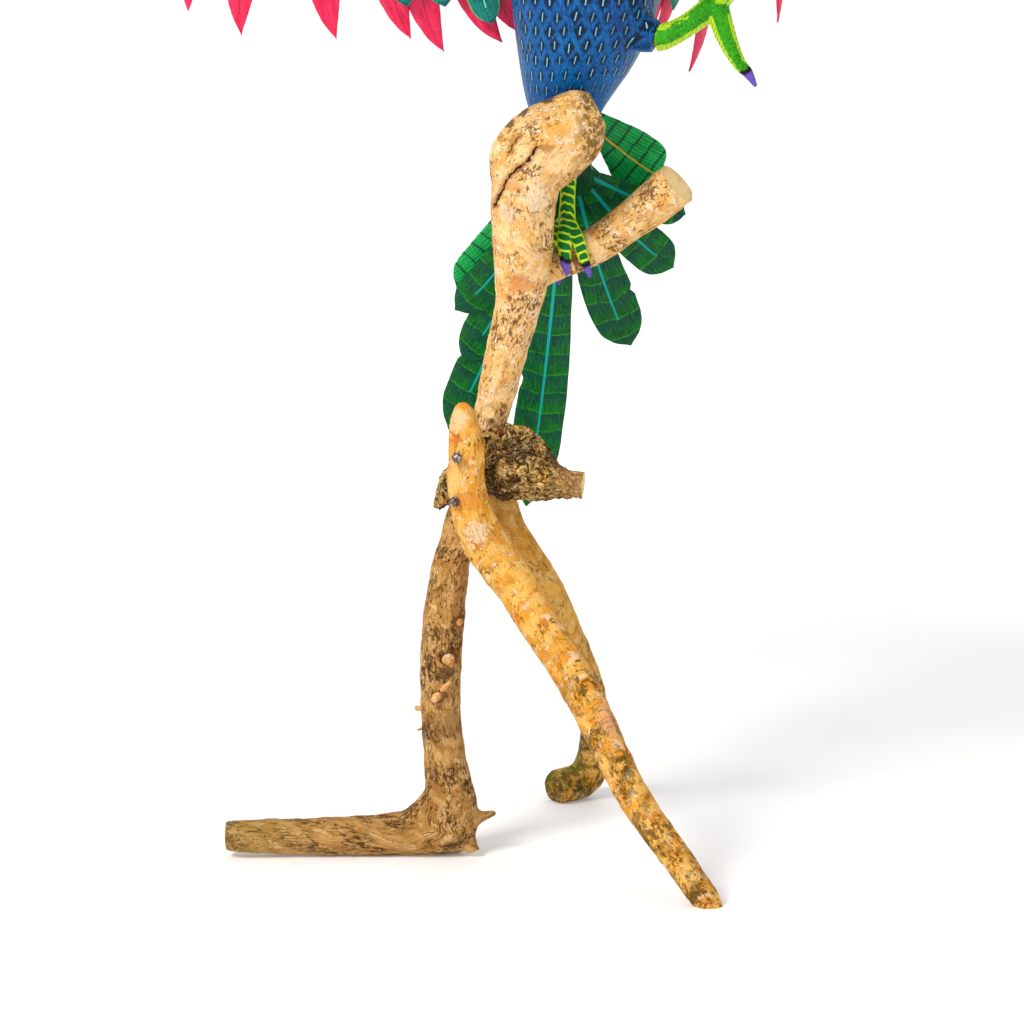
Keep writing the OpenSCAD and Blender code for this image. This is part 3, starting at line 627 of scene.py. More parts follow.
def make_diamond_feathers():
    """Rows of small dark diamonds, each with a pale tick, set out in staggered columns."""
    tree, wires, given, result = shader_group("diamond feathers", [
        ("Float", "Column", 0.0), ("Float", "Row", 0.0), ("Float", "Column pitch", 9.7),
        ("Float", "Row pitch", 16.0),
        ("Float", "Diamond size", 1.0), ("Vector", "Jitter place", None)],
        [("Float", "Diamonds"), ("Float", "Ticks"), ("Float", "Strokes")])
    p = wires.math("ADD", given["Column"], given["Row"])
    q = wires.math("SUBTRACT", given["Column"], given["Row"])
    near_p = wires.math("ROUND", p)
    near_q = wires.math("ROUND", q)
    chance = wires.add("ShaderNodeTexWhiteNoise", {"Vector": wires.vector(near_p, near_q, 0.0)}).outputs
    luck = wires.parts(chance["Color"])
    dp = wires.math("SUBTRACT", p, near_p)
    dq = wires.math("SUBTRACT", q, near_q)
    across = wires.math("MULTIPLY", wires.math("MULTIPLY", wires.math("ADD", dp, dq), 0.5),
                        given["Column pitch"])
    up = wires.math("MULTIPLY", wires.math("MULTIPLY", wires.math("SUBTRACT", dp, dq), 0.5),
                    given["Row pitch"])
    across = wires.math("ADD", across, wires.span(luck[0], 0.0, 1.0, -0.6, 0.6))
    up = wires.math("ADD", up, wires.span(luck[1], 0.0, 1.0, -0.9, 0.9))
    x, y, z = wires.parts(given["Jitter place"])
    bristle = wires.noise(wires.vector(wires.math("MULTIPLY", x, 2.2), wires.math("MULTIPLY", y, 0.22), z),
                          1.0, 2.0)
    grown = wires.math("MULTIPLY", given["Diamond size"], wires.span(luck[2], 0.0, 1.0, 0.75, 1.15))
    reach = wires.math("ADD", wires.math("DIVIDE", wires.math("ABSOLUTE", across), 3.6),
                       wires.math("DIVIDE", wires.math("ABSOLUTE", up), 4.9))
    reach = wires.math("ADD", reach, wires.math("MULTIPLY", wires.math("SUBTRACT", bristle, 0.5), 2.6))
    diamonds = wires.rise(wires.math("SUBTRACT", reach, wires.math("SUBTRACT", grown, 1.0)), 1.08, 0.92)
    lean = wires.math("MULTIPLY_ADD", up, wires.span(luck[0], 0.0, 1.0, -0.09, 0.05), across)
    thin = wires.rise(wires.math("ABSOLUTE", lean), 0.46, 0.26)
    short = wires.rise(wires.math("ABSOLUTE", up), wires.span(luck[1], 0.0, 1.0, 2.3, 3.1), 2.0)
    bright = wires.span(luck[2], 0.0, 1.0, 0.45, 1.0)
    wires.tree.links.new(diamonds, result["Diamonds"])
    wires.tree.links.new(wires.math("MULTIPLY", wires.math("MULTIPLY", thin, short), bright), result["Ticks"])
    wires.tree.links.new(bristle, result["Strokes"])
    return tree


BRANCH_SKIN = make_branch_skin()
BRUSH_STROKES = make_brush_strokes()
BARB_LINES = make_barb_lines()
DIAMOND_FEATHERS = make_diamond_feathers()

# ------------------------------------------------------------------ finishes

def branch_finish(name, pale, warm, dark, sawn=(246, 214, 150), patch=11.0, flecks=0.3, fleck_size=2.4,
                  fissures=0.5, streaks=0.4, depth=0.0008, rust=(196, 112, 40), chip=(250, 222, 188),
                  cover=None,
                  marks=None):
    """A branch's material: cover may make the flecks denser, and marks may paint over the colour."""
    material, wires, shader = new_material(name, specular=0.14)
    feeds = {
        "Grain place": wires.attribute("grain"), "Pale": paint(*pale), "Warm": paint(*warm),
        "Dark": paint(*dark),
        "Rust": paint(*rust), "Chip": paint(*chip), "Patch size": patch, "Fleck cover": flecks,
        "Fleck size": fleck_size, "Fissures": fissures,
        "Streaks": streaks, "Sawn end": wires.number("cut"), "Ring radius": wires.number("ring"),
        "Sawn wood": paint(*sawn)}
    place = wires.add("ShaderNodeTexCoord").outputs["Object"]
    if cover:
        feeds["Fleck cover"] = cover(wires, place)
    skin = place_group(wires, BRANCH_SKIN, feeds)
    colour, rough, height = skin["Colour"], skin["Roughness"], skin["Height"]
    if marks:
        colour, height = marks(wires, place, colour, height)
    finish_material(wires, shader, colour, rough, height, depth, 0.9)
    return material


def spot(wires, place, x, z, width, tall, front=-0.072, ragged=0.5):
    """1 inside an uneven oval on the front of a branch, round x and z in mm, and 0 outside it."""
    px, py, pz = wires.parts(place)
    u = wires.math("DIVIDE", wires.math("SUBTRACT", wires.math("MULTIPLY", px, 1000.0), x), width)
    v = wires.math("DIVIDE", wires.math("SUBTRACT", wires.math("MULTIPLY", pz, 1000.0), z), tall)
    reach = wires.math("SQRT", wires.math("ADD", wires.math("MULTIPLY", u, u), wires.math("MULTIPLY", v, v)))
    jag = wires.math("SUBTRACT", wires.noise(place, 420.0, 4.0, 0.7), 0.5)
    reach = wires.math("MULTIPLY_ADD", jag, ragged * 2.4, reach)
    return wires.math("MULTIPLY", wires.rise(reach, 1.1, 0.75), wires.math("LESS_THAN", py, front))


def trunk_marks(wires, place, colour, height):
    """The trunk's own blemishes: the crack under its knob, its gap filled with painted shade and ringed by a
    darker brown halo, dark scars on top and rosy patches.
    """
    gap = wires.number("crack")
    jag = wires.math("MULTIPLY_ADD", wires.noise(place, 520.0, 5.0, 0.75), 2.2, -1.1)
    crack = wires.rise(wires.math("ADD", gap, jag), 0.75, 0.25)
    # a darker brown halo round the crack
    crack_halo = wires.math("MULTIPLY", wires.rise(wires.math("MULTIPLY_ADD", jag, 2.2, gap), 3.2, 0.6), 0.75)
    colour = wires.mix(crack_halo, colour, paint(170, 112, 54))
    for x, z, width, tall, shade in ((35, 321, 7, 6, (206, 128, 74)), (48.5, 396, 3.6, 2.2, (160, 104, 52)),
                                     (28, 360, 5, 4.5, (236, 196, 172)), (44, 369, 8, 9, (244, 212, 176)),
                                     (54, 406, 8, 6, (226, 160, 64)), (60, 420, 6, 4, (240, 186, 96)),
                                     (31, 375, 4, 3, (206, 132, 66))):
        share = wires.math("MULTIPLY", spot(wires, place, x, z, width, tall, -0.072, 1.1), 0.6)
        colour = wires.mix(share, colour, paint(*shade))
    scars = wires.math("MAXIMUM", spot(wires, place, 49.5, 420.5, 4.2, 2.2, -0.03, 0.8),
                       wires.math("MAXIMUM", spot(wires, place, 35, 414.5, 5.0, 2.8, -0.03, 0.9),
                                  spot(wires, place, 29, 408, 3.4, 2.6, -0.03, 0.9)))
    soot = wires.mix(wires.noise(place, 500.0, 4.0, 0.7), paint(66, 40, 18), paint(140, 96, 50))
    colour = wires.mix(wires.math("MULTIPLY", scars, 0.92), colour, soot)
    x, _, z = wires.parts(place)
    line = wires.math("SUBTRACT", z, wires.math("MULTIPLY_ADD", x, 0.8, 0.3))
    # dark olive specks over a patch on the trunk's upper right, above a slanting line
    olive_patch = wires.math("MULTIPLY", wires.rise(line, -0.002, 0.006), wires.rise(x, 0.06, 0.074))
    olive_patch = wires.math("MULTIPLY", olive_patch, wires.rise(x, 0.125, 0.1))
    speck = wires.rise(wires.noise(place, 300.0, 5.0, 0.75), 0.44, 0.54)
    colour = wires.mix(wires.math("MULTIPLY", wires.math("MULTIPLY", olive_patch, speck), 0.85), colour,
                       paint(96, 70, 22))
    # painted shade: the crack's gap filled near black, standing in for the shade inside it
    colour = wires.mix(crack, colour, paint(46, 26, 12))
    return colour, wires.math("SUBTRACT", height, wires.math("MULTIPLY_ADD", crack, 1.6, scars))


def lower_leg_cover(wires, place):
    """Dark bark grows denser towards the floor."""
    height = wires.parts(place)[2]
    return wires.add("ShaderNodeMapRange", {
        "Value": height, "From Min": 0.015, "From Max": 0.13, "To Min": 0.56, "To Max": 0.44}).outputs[0]


def front_leg_marks(wires, place, colour, height):
    """Peeled chips, orange knots and a pale splinter near the front leg's top."""
    for x, z, width, tall, shade in ((0, 250, 8, 6, (240, 196, 146)), (-6, 238, 5, 4, (206, 110, 44)),
                                     (0, 218, 3.5, 11, (244, 190, 112)), (12, 190, 7, 6, (240, 204, 166)),
                                     (6, 207, 7, 5, (214, 132, 50)), (85, 95, 8, 10, (232, 168, 120))):
        share = wires.math("MULTIPLY", spot(wires, place, x, z, width, tall), 0.7)
        colour = wires.mix(share, colour, paint(*shade))
    low = wires.rise(wires.parts(place)[2], 0.13, 0.09)
    moss = wires.math("MULTIPLY", wires.rise(wires.noise(place, 90.0, 4.0, 0.7), 0.5, 0.58), low)
    colour = wires.mix(wires.math("MULTIPLY", moss, 0.6), colour, paint(96, 74, 28))
    return colour, wires.math("SUBTRACT", height, wires.math("MULTIPLY", moss, 0.3))


def back_leg_marks(wires, place, colour, height):
    """Green moss and dark bark round the back leg's foot."""
    low = wires.rise(wires.parts(place)[2], 0.075, 0.035)
    bark = wires.rise(wires.noise(place, 120.0, 4.0, 0.7), 0.42, 0.56)
    colour = wires.mix(wires.math("MULTIPLY", wires.math("MULTIPLY", bark, low), 0.85), colour,
                       paint(70, 62, 18))
    moss = wires.rise(wires.noise(place, 70.0, 4.0, 0.7), 0.5, 0.62)
    colour = wires.mix(wires.math("MULTIPLY", wires.math("MULTIPLY", moss, low), 0.6), colour,
                       paint(116, 116, 20))
    return colour, height


def side_leg_marks(wires, place, colour, height):
    """Greenish grey bark on the lying foot, black specks and a bruise half way up the post."""
    x, _, z = wires.parts(place)
    foot = wires.math("MULTIPLY", wires.rise(x, -0.05, -0.12), wires.rise(z, 0.05, 0.03))
    colour = wires.mix(wires.math("MULTIPLY", foot, 0.35), colour, paint(170, 142, 72))
    for knot_x, knot_z, size in ((-4, 114, 5.6), (-9, 93, 5.0), (2, 134, 4.4), (-5, 106, 5.0)):
        ring = spot(wires, place, knot_x, knot_z, size * 1.1, size * 0.8, 0.0, 0.7)
        colour = wires.mix(wires.math("MULTIPLY", ring, 0.75), colour, paint(84, 54, 26))
    bruise = spot(wires, place, -5, 76, 15, 9, 0.0, 1.2)
    colour = wires.mix(wires.math("MULTIPLY", bruise, 0.42), colour, paint(110, 74, 40))
    dark = wires.rise(wires.noise(place, 55.0, 4.0, 0.72), 0.56, 0.66)
    right = wires.math("MULTIPLY", wires.rise(x, -0.006, 0.012), wires.rise(z, 0.1, 0.14))
    colour = wires.mix(wires.math("MULTIPLY", wires.math("MULTIPLY", dark, right), 0.8), colour,
                       paint(72, 48, 22))
    return colour, height


def burl_finish():
    """The hub's knotted root bark: dark hollows between pale twisting fibres, bare at the stub's end."""
    material, wires, shader = new_material("hub_twisted_bark", specular=0.14)
    grain = wires.attribute("grain")
    place = wires.add("ShaderNodeTexCoord").outputs["Object"]
    swirl = wires.add("ShaderNodeTexNoise", {"Vector": place, "Scale": 95.0, "Detail": 2.0}).outputs["Color"]
    bent = wires.moved(wires.scaled(place, (1000.0, 1000.0, 1000.0)), wires.scaled(swirl, (9.0, 9.0, 9.0)))
    fibre = wires.noise(wires.scaled(bent, (0.2, 0.12, 0.26)), 1.0, 4.0, 0.6, 1.6)
    cords = wires.math("ABSOLUTE", wires.math("SUBTRACT", wires.noise(bent, 0.15, 3.0, 0.6, 1.2), 0.5))
    pale = wires.rise(cords, 0.04, 0.008)
    colour = wires.ramp(fibre, (0.4, paint(50, 28, 6)), (0.48, paint(132, 86, 24)),
                        (0.54, paint(200, 148, 66)),
                        (0.62, paint(244, 206, 134)))
    colour = wires.mix(wires.math("MULTIPLY", pale, 0.8), colour, paint(244, 212, 148))
    dark = wires.rise(wires.noise(place, 60.0, 3.0, 0.6), 0.52, 0.6)
    hollow = wires.math("MULTIPLY", dark, wires.span(pale, 0.0, 1.0, 0.85, 0.4))
    colour = wires.mix(hollow, colour, paint(50, 28, 8))
    x, _, _ = wires.parts(place)
    rim = wires.math("MULTIPLY", wires.rise(x, 0.05, 0.066), 0.72)
    stub = wires.ramp(wires.noise(wires.scaled(grain, (1.0, 1.0, 0.2)), 0.7, 4.0, 0.65),
                      (0.38, paint(150, 104, 58)), (0.6, paint(214, 164, 108)))
    colour = wires.mix(rim, colour, stub)
    ring = wires.number("ring")
    circles = wires.rise(wires.math("SINE", wires.math("MULTIPLY", ring, 2.6)), 0.1, 1.0)
    sawn = wires.mix(wires.math("MULTIPLY", circles, 0.35), paint(252, 228, 160), paint(228, 186, 110))
    sawn = wires.mix(wires.rise(ring, 0.9, 0.3), sawn, paint(196, 146, 84))
    colour = wires.mix(wires.number("cut"), colour, sawn)
    height = wires.math("MULTIPLY_ADD", fibre, 0.8, wires.math("MULTIPLY", pale, 0.5))
    rough = wires.span(fibre, 0.3, 0.7, 0.85, 0.6)
    finish_material(wires, shader, colour, rough, height, 0.0022, 1.0)
    return material


def steel_finish():
    """Blackened nails, mottled with bright worn patches and rust."""
    material, wires, shader = new_material("nail_steel_blackened", specular=0.6)
    place = wires.add("ShaderNodeTexCoord").outputs["Object"]
    scale = wires.noise(place, 700.0, 4.0, 0.65)
    colour = wires.ramp(scale, (0.38, paint(50, 42, 38)), (0.52, paint(116, 102, 94)),
                        (0.64, paint(206, 190, 184)))
    rust = wires.rise(wires.noise(place, 300.0, 3.0, 0.6), 0.48, 0.62)
    colour = wires.mix(wires.math("MULTIPLY", rust, 0.75), colour, paint(70, 46, 30))
    metal = wires.math("SUBTRACT", 0.85, wires.math("MULTIPLY", rust, 0.6))
    wires.tree.links.new(metal, shader.inputs["Metallic"])
    finish_material(wires, shader, colour, wires.span(scale, 0.3, 0.7, 0.3, 0.55), scale, 0.0001, 0.5)
    return material


def blade_place(wires, stretch=1.0):
    """A feather's own place for brush strokes that run along it: across, along, and a number of its own."""
    x, y, _ = wires.parts(wires.attribute("blade"))
    return wires.vector(wires.math("MULTIPLY", x, stretch), y,
                        wires.math("MULTIPLY", wires.number("own"), 50.0))


def band_phase(wires, pitch, droop, waviness):
    """How many bands from a feather's root, counted along it, with bands that bend at its edges."""
    x, y, _ = wires.parts(wires.attribute("blade"))
    wave = wires.noise(blade_place(wires), 0.11, 2.0)
    along = wires.math("MULTIPLY_ADD", wires.math("ABSOLUTE", x), droop, y)
    along = wires.math("MULTIPLY_ADD", wires.math("SUBTRACT", wave, 0.5), waviness, along)
    along = wires.math("MULTIPLY_ADD", wires.number("own"), 9.0, along)
    return wires.math("DIVIDE", along, pitch)


def shaft_mask(wires, root_width, tip_width, ends):
    """1 on a feather's painted shaft, which tapers and stops short of the tip."""
    x, _, share = wires.parts(wires.attribute("blade"))
    width = wires.span(share, 0.0, ends, root_width / 2, tip_width / 2)
    mask = wires.rise(wires.math("SUBTRACT", wires.math("ABSOLUTE", x), width), 0.18, -0.12)
    return wires.math("MULTIPLY", mask, wires.math("LESS_THAN", share, ends))


def tail_finish():
    """Long tail feathers: green over blue-green bands, lime band edges and a bright teal shaft."""
    material, wires, shader = new_material("tail_banded_green", coat=0.05, coat_roughness=0.25)
    phase = band_phase(wires, 11.7, 0.16, 5.0)
    within = wires.math("FRACT", phase)
    strokes = place_group(wires, BRUSH_STROKES, {
        "Stroke place": blade_place(wires), "Stroke width": 0.55, "Stroke length": 6.0,
        "Thin paint": paint(0, 62, 40), "Full paint": paint(0, 112, 22), "Gloss spread": 0.14})
    ragged = wires.math("MULTIPLY_ADD", wires.math("SUBTRACT", strokes["Height"], 0.5), 1.1, within)
    deep = wires.rise(ragged, 0.72, 0.14)
    colour = wires.mix(wires.math("MULTIPLY", deep, 0.8), strokes["Colour"], paint(0, 66, 58))
    night = wires.rise(wires.noise(blade_place(wires), 0.13, 2.0), 0.55, 0.7)
    colour = wires.mix(wires.math("MULTIPLY", night, 0.45), colour, paint(0, 34, 34))
    line = wires.rise(wires.math("ABSOLUTE", wires.math("SUBTRACT", within, 0.955)), 0.05, 0.012)
    broken = wires.rise(wires.noise(blade_place(wires), 0.5, 2.0), 0.3, 0.55)
    colour = wires.mix(wires.math("MULTIPLY", wires.math("MULTIPLY", line, broken), 0.75), colour,
                       paint(40, 146, 14))
    barbs = place_group(wires, BARB_LINES, {
        "Blade": wires.attribute("blade"), "Pitch": 2.3, "Fan": 0.05, "Line share": 0.2, "Unevenness": 2.2})
    colour = wires.mix(wires.math("MULTIPLY", barbs["Lines"], 0.28), colour, paint(58, 150, 20))
    colour = wires.mix(shaft_mask(wires, 2.3, 0.9, 0.84), colour, paint(4, 160, 158))
    finish_material(wires, shader, colour, strokes["Roughness"], strokes["Height"], 0.00012, 0.5)
    return material


def covert_finish():
    """Tail coverts: bright green with black and pale barb lines, dashed dark bands and a golden shaft."""
    material, wires, shader = new_material("covert_bright_green", coat=0.05, coat_roughness=0.25)
    strokes = place_group(wires, BRUSH_STROKES, {
        "Stroke place": blade_place(wires), "Stroke width": 0.9, "Stroke length": 9.0,
        "Thin paint": paint(0, 140, 56), "Full paint": paint(0, 186, 84), "Gloss spread": 0.14})
    colour = strokes["Colour"]
    pale = place_group(wires, BARB_LINES, {
        "Blade": wires.moved(wires.attribute("blade"), (0.6, 0.0, 0.0)), "Pitch": 1.9, "Fan": 0.16,
        "Line share": 0.22, "Unevenness": 0.5})
    black = place_group(wires, BARB_LINES, {
        "Blade": wires.attribute("blade"), "Pitch": 1.25, "Fan": 0.16, "Line share": 0.36,
        "Unevenness": 0.35})
    colour = wires.mix(wires.math("MULTIPLY", pale["Lines"], 0.55), colour, paint(90, 224, 150))
    colour = wires.mix(wires.math("MULTIPLY", black["Lines"], 0.8), colour, paint(0, 58, 30))
    within = wires.math("FRACT", band_phase(wires, 8.2, 0.05, 3.0))
    dash = wires.noise(wires.scaled(blade_place(wires), (1.2, 0.3, 1.0)), 1.0, 3.0, 0.6)
    bands = wires.math("MULTIPLY_ADD", wires.math("SUBTRACT", dash, 0.5), 0.2,
                       wires.math("SUBTRACT", within, 0.5))
    bands = wires.rise(wires.math("ABSOLUTE", bands), 0.12, 0.04)
    colour = wires.mix(wires.math("MULTIPLY", bands, 0.8), colour, paint(0, 46, 30))
    colour = wires.mix(shaft_mask(wires, 1.3, 0.7, 0.97), colour, paint(222, 168, 40))
    finish_material(wires, shader, colour, strokes["Roughness"], strokes["Height"], 0.0001, 0.5)
    return material


def crimson_finish():
    """Flight feathers: crimson washes over pink, darker towards the root, with a thin dark shaft."""
    material, wires, shader = new_material("flight_crimson_wash", coat=0.05, coat_roughness=0.25)
    strokes = place_group(wires, BRUSH_STROKES, {
        "Stroke place": blade_place(wires), "Stroke width": 2.2, "Stroke length": 16.0,
        "Thin paint": paint(232, 44, 88), "Full paint": paint(206, 14, 62), "Gloss spread": 0.14})
    pool = wires.rise(wires.noise(blade_place(wires), 0.2, 4.0, 0.65), 0.42, 0.68)
    colour = wires.mix(wires.math("MULTIPLY", pool, 0.4), strokes["Colour"], paint(176, 18, 60))
    barbs = place_group(wires, BARB_LINES, {
        "Blade": wires.attribute("blade"), "Pitch": 1.7, "Fan": 0.5, "Line share": 0.16, "Unevenness": 0.8})
    colour = wires.mix(wires.math("MULTIPLY", barbs["Lines"], 0.16), colour, paint(250, 130, 150))
    share = wires.parts(wires.attribute("blade"))[2]
    colour = wires.mix(wires.math("MULTIPLY", wires.rise(share, 0.5, 0.1), 0.3), colour, paint(140, 20, 60))
    colour = wires.mix(wires.math("MULTIPLY", shaft_mask(wires, 0.7, 0.35, 0.93), 0.7), colour,
                       paint(110, 14, 44))
    finish_material(wires, shader, colour, strokes["Roughness"], strokes["Height"], 0.0001, 0.5)
    return material


def teal_finish():
    """Wing coverts: deep teal with fine pale barbs, a black edge shadow and a pale shaft."""
    material, wires, shader = new_material("covert_deep_teal", coat=0.05, coat_roughness=0.25)
    strokes = place_group(wires, BRUSH_STROKES, {
        "Stroke place": blade_place(wires), "Stroke width": 0.8, "Stroke length": 10.0,
        "Thin paint": paint(0, 78, 78), "Full paint": paint(0, 122, 106), "Gloss spread": 0.14})
    barbs = place_group(wires, BARB_LINES, {
        "Blade": wires.attribute("blade"), "Pitch": 1.5, "Fan": 0.6, "Line share": 0.24, "Unevenness": 0.5})
    colour = wires.mix(wires.math("MULTIPLY", barbs["Lines"], 0.5), strokes["Colour"], paint(60, 190, 160))
    within = wires.math("FRACT", band_phase(wires, 12.0, 0.5, 2.0))
    dark = wires.rise(within, 0.25, 0.0)
    colour = wires.mix(wires.math("MULTIPLY", dark, 0.55), colour, paint(0, 40, 60))
    rim = wires.math("ABSOLUTE", wires.number("rim"))
    colour = wires.mix(wires.math("MULTIPLY", wires.rise(rim, 0.86, 0.97), 0.7), colour, paint(70, 200, 120))
    colour = wires.mix(shaft_mask(wires, 1.0, 0.5, 0.9), colour, paint(120, 214, 196))
    finish_material(wires, shader, colour, strokes["Roughness"], strokes["Height"], 0.0001, 0.5)
    return material


def plumage_finish(name, column, row, size):
    """Cobalt blue laid on in fine upright strokes, with rows of black diamonds and sky-blue ticks."""
    material, wires, shader = new_material(name, coat=0.05, coat_roughness=0.25)
    columns, rows, place = column(wires), row(wires), wires.attribute("stroke")
    strokes = place_group(wires, BRUSH_STROKES, {
        "Stroke place": place, "Stroke width": 0.8, "Stroke length": 7.0,
        "Thin paint": paint(0, 104, 170), "Full paint": paint(0, 58, 128), "Gloss spread": 0.12})
    feathers = place_group(wires, DIAMOND_FEATHERS, {
        "Column": columns, "Row": rows, "Diamond size": size(wires), "Jitter place": place})
    shade = wires.rise(feathers["Strokes"], 0.52, 0.68)
    colour = wires.mix(wires.math("MULTIPLY", shade, 0.7), strokes["Colour"], paint(0, 20, 70))
    colour = wires.mix(wires.math("MULTIPLY", feathers["Diamonds"], 0.93), colour, paint(4, 12, 24))
    colour = wires.mix(wires.math("MULTIPLY", feathers["Ticks"], wires.rise(size(wires), 0.2, 0.7)), colour,
                       paint(120, 200, 226))
    return material, wires, shader, colour, strokes


def body_columns(wires):
    x, y, _ = wires.parts(wires.attribute("round"))
    return wires.math("DIVIDE", wires.math("ARCTAN2", y, x), math.tau / 26)


def body_rows(wires):
    return wires.math("DIVIDE", wires.parts(wires.attribute("round"))[2], 16.0)


def body_diamond_size(wires):
    """Diamonds shrink and fade towards the belly's end and over the face."""
    z = wires.parts(wires.attribute("round"))[2]
    low = wires.span(z, 398.0, 446.0, 0.1, 1.0)
    return wires.math("MINIMUM", low, wires.span(z, 600.0, 640.0, 1.0, 0.55))


def torso_finish():
    material, wires, shader, colour, strokes = plumage_finish(
        "plumage_cobalt_diamonds", body_columns, body_rows, body_diamond_size)
    head = wires.attribute("head")
    ahead, _, up = wires.parts(head)
    on_head = wires.rise(up, -26.0, -18.0)
    beak = wires.rise(wires.math("MULTIPLY_ADD", wires.noise(head, 0.8, 2.0), 3.0, ahead), 26.5, 28.5)
    beak = wires.math("MULTIPLY", beak, on_head)
    face = wires.rise(wires.math("MULTIPLY_ADD", wires.noise(head, 0.5, 2.0), 5.0, ahead), 17.0, 21.0)
    face = wires.math("MULTIPLY", face, on_head)
    colour = wires.mix(wires.math("MULTIPLY", face, 0.9), colour, paint(24, 150, 60))
    speck = wires.rise(wires.cells(wires.scaled(head, (0.45, 0.45, 0.45))), 0.3, 0.2)
    colour = wires.mix(wires.math("MULTIPLY", wires.math("MULTIPLY", speck, face), 0.9), colour,
                       paint(214, 226, 30))
    horn = wires.noise(wires.scaled(head, (0.12, 0.9, 0.9)), 1.0, 4.0, 0.6)
    horn = wires.ramp(horn, (0.35, paint(206, 132, 22)), (0.52, paint(240, 180, 46)),
                      (0.7, paint(250, 214, 96)))
    horn = wires.mix(wires.rise(ahead, 44.0, 53.0), horn, paint(60, 34, 14))
    gape = wires.rise(wires.math("ABSOLUTE",
                                 wires.math("MULTIPLY_ADD", ahead, 0.16, wires.math("ADD", up, 4.6))),
                      1.0, 0.5)
    horn = wires.mix(wires.math("MULTIPLY", gape, 0.85), horn, paint(44, 22, 12))
    colour = wires.mix(beak, colour, horn)
    bare = wires.rise(wires.number("hidden_wood"), 0.4, 0.6)
    colour = wires.mix(bare, colour, paint(222, 184, 124))
    finish_material(wires, shader, colour, strokes["Roughness"], strokes["Height"], 0.00015, 0.6)
    return material


def arm_columns(wires):
    _, _, z = wires.parts(wires.attribute("grain"))
    return wires.math("DIVIDE", z, 8.0)


def arm_rows(wires):
    _, _, z = wires.parts(wires.attribute("flat"))
    return wires.math("DIVIDE", z, 13.0)


def arm_diamond_size(wires):
    return wires.span(wires.parts(wires.attribute("grain"))[2], 0.0, 240.0, 1.0, 0.7)


def wing_arm_finish():
    material, wires, shader, colour, strokes = plumage_finish(
        "wing_cobalt_scales", arm_columns, arm_rows, arm_diamond_size)
    edge = wires.rise(wires.parts(wires.attribute("flat"))[1], 0.7, 0.95)
    colour = wires.mix(wires.math("MULTIPLY", edge, 0.5), colour, paint(20, 150, 150))
    finish_material(wires, shader, colour, strokes["Roughness"], strokes["Height"], 0.00015, 0.6)
    return material


def claw_paint(wires, colour, cuff=10.8, claw=8.4):
    """Violet claws behind ragged black cuffs."""
    left = wires.number("to_tip")
    jag = wires.math("SUBTRACT",
                     wires.noise(wires.scaled(wires.attribute("grain"), (1.3, 1.3, 0.1)), 1.0, 2.0), 0.5)
    ragged = wires.math("MULTIPLY_ADD", jag, 3.6, left)
    colour = wires.mix(wires.rise(ragged, cuff, cuff - 0.7), colour, paint(16, 8, 10))
    violet = wires.mix(wires.noise(wires.attribute("grain"), 0.9, 3.0), paint(72, 52, 150),
                       paint(122, 98, 196))
    violet = wires.mix(wires.rise(left, 1.2, 0.0), violet, paint(70, 60, 92))
    return wires.mix(wires.rise(wires.math("MULTIPLY_ADD", jag, 2.0, left), claw, claw - 1.6), colour, violet)


def perched_leg_finish():
    """The standing leg: lime skin with rows of dark green scales down its front."""
    material, wires, shader = new_material("leg_lime_scales", coat=0.05, coat_roughness=0.25)
    _, _, z = wires.parts(wires.attribute("grain"))
    strokes = place_group(wires, BRUSH_STROKES, {
        "Stroke place": wires.attribute("grain"), "Stroke width": 1.2, "Stroke length": 5.0,
        "Thin paint": paint(222, 240, 40), "Full paint": paint(160, 214, 20), "Gloss spread": 0.1})
    row = wires.math("DIVIDE",
                     wires.math("MULTIPLY_ADD", wires.noise(wires.attribute("grain"), 0.3, 1.0), 0.9, z), 5.0)
    up = wires.math("MULTIPLY", wires.math("SUBTRACT", wires.math("FRACT", row), 0.5), 5.0)
    luck = wires.add("ShaderNodeTexWhiteNoise", {"W": wires.math("FLOOR", row)},
                     noise_dimensions="1D").outputs[0]
    facing = wires.number("facing")
    out = wires.math("SQRT",
                     wires.math("MAXIMUM", wires.math("SUBTRACT", 1.0, wires.math("POWER", facing, 2.0)),
                                0.0))
    out = wires.math("MAXIMUM", out, wires.math("LESS_THAN", facing, 0.0))
    reach = wires.math("ADD",
                       wires.math("POWER", wires.math("DIVIDE", wires.math("ABSOLUTE", up), 1.85), 3.0),
                       wires.math("POWER", wires.math("DIVIDE", out, wires.span(luck, 0.0, 1.0, 0.72, 0.9)),
                                  4.0))
    scales = wires.rise(reach, 1.15, 0.85)
    green = wires.mix(wires.noise(wires.attribute("grain"), 0.8, 3.0), paint(0, 78, 34), paint(0, 128, 52))
    colour = wires.mix(scales, strokes["Colour"], green)
    edge = wires.rise(wires.math("ABSOLUTE", wires.math("SUBTRACT", reach, 1.2)), 0.22, 0.05)
    colour = wires.mix(wires.math("MULTIPLY", edge, 0.5), colour, paint(20, 90, 20))
    colour = claw_paint(wires, colour)
    height = wires.math("MULTIPLY_ADD", scales, 0.5, wires.math("MULTIPLY", strokes["Height"], 0.5))
    finish_material(wires, shader, colour, strokes["Roughness"], height, 0.00025, 0.6)
    return material


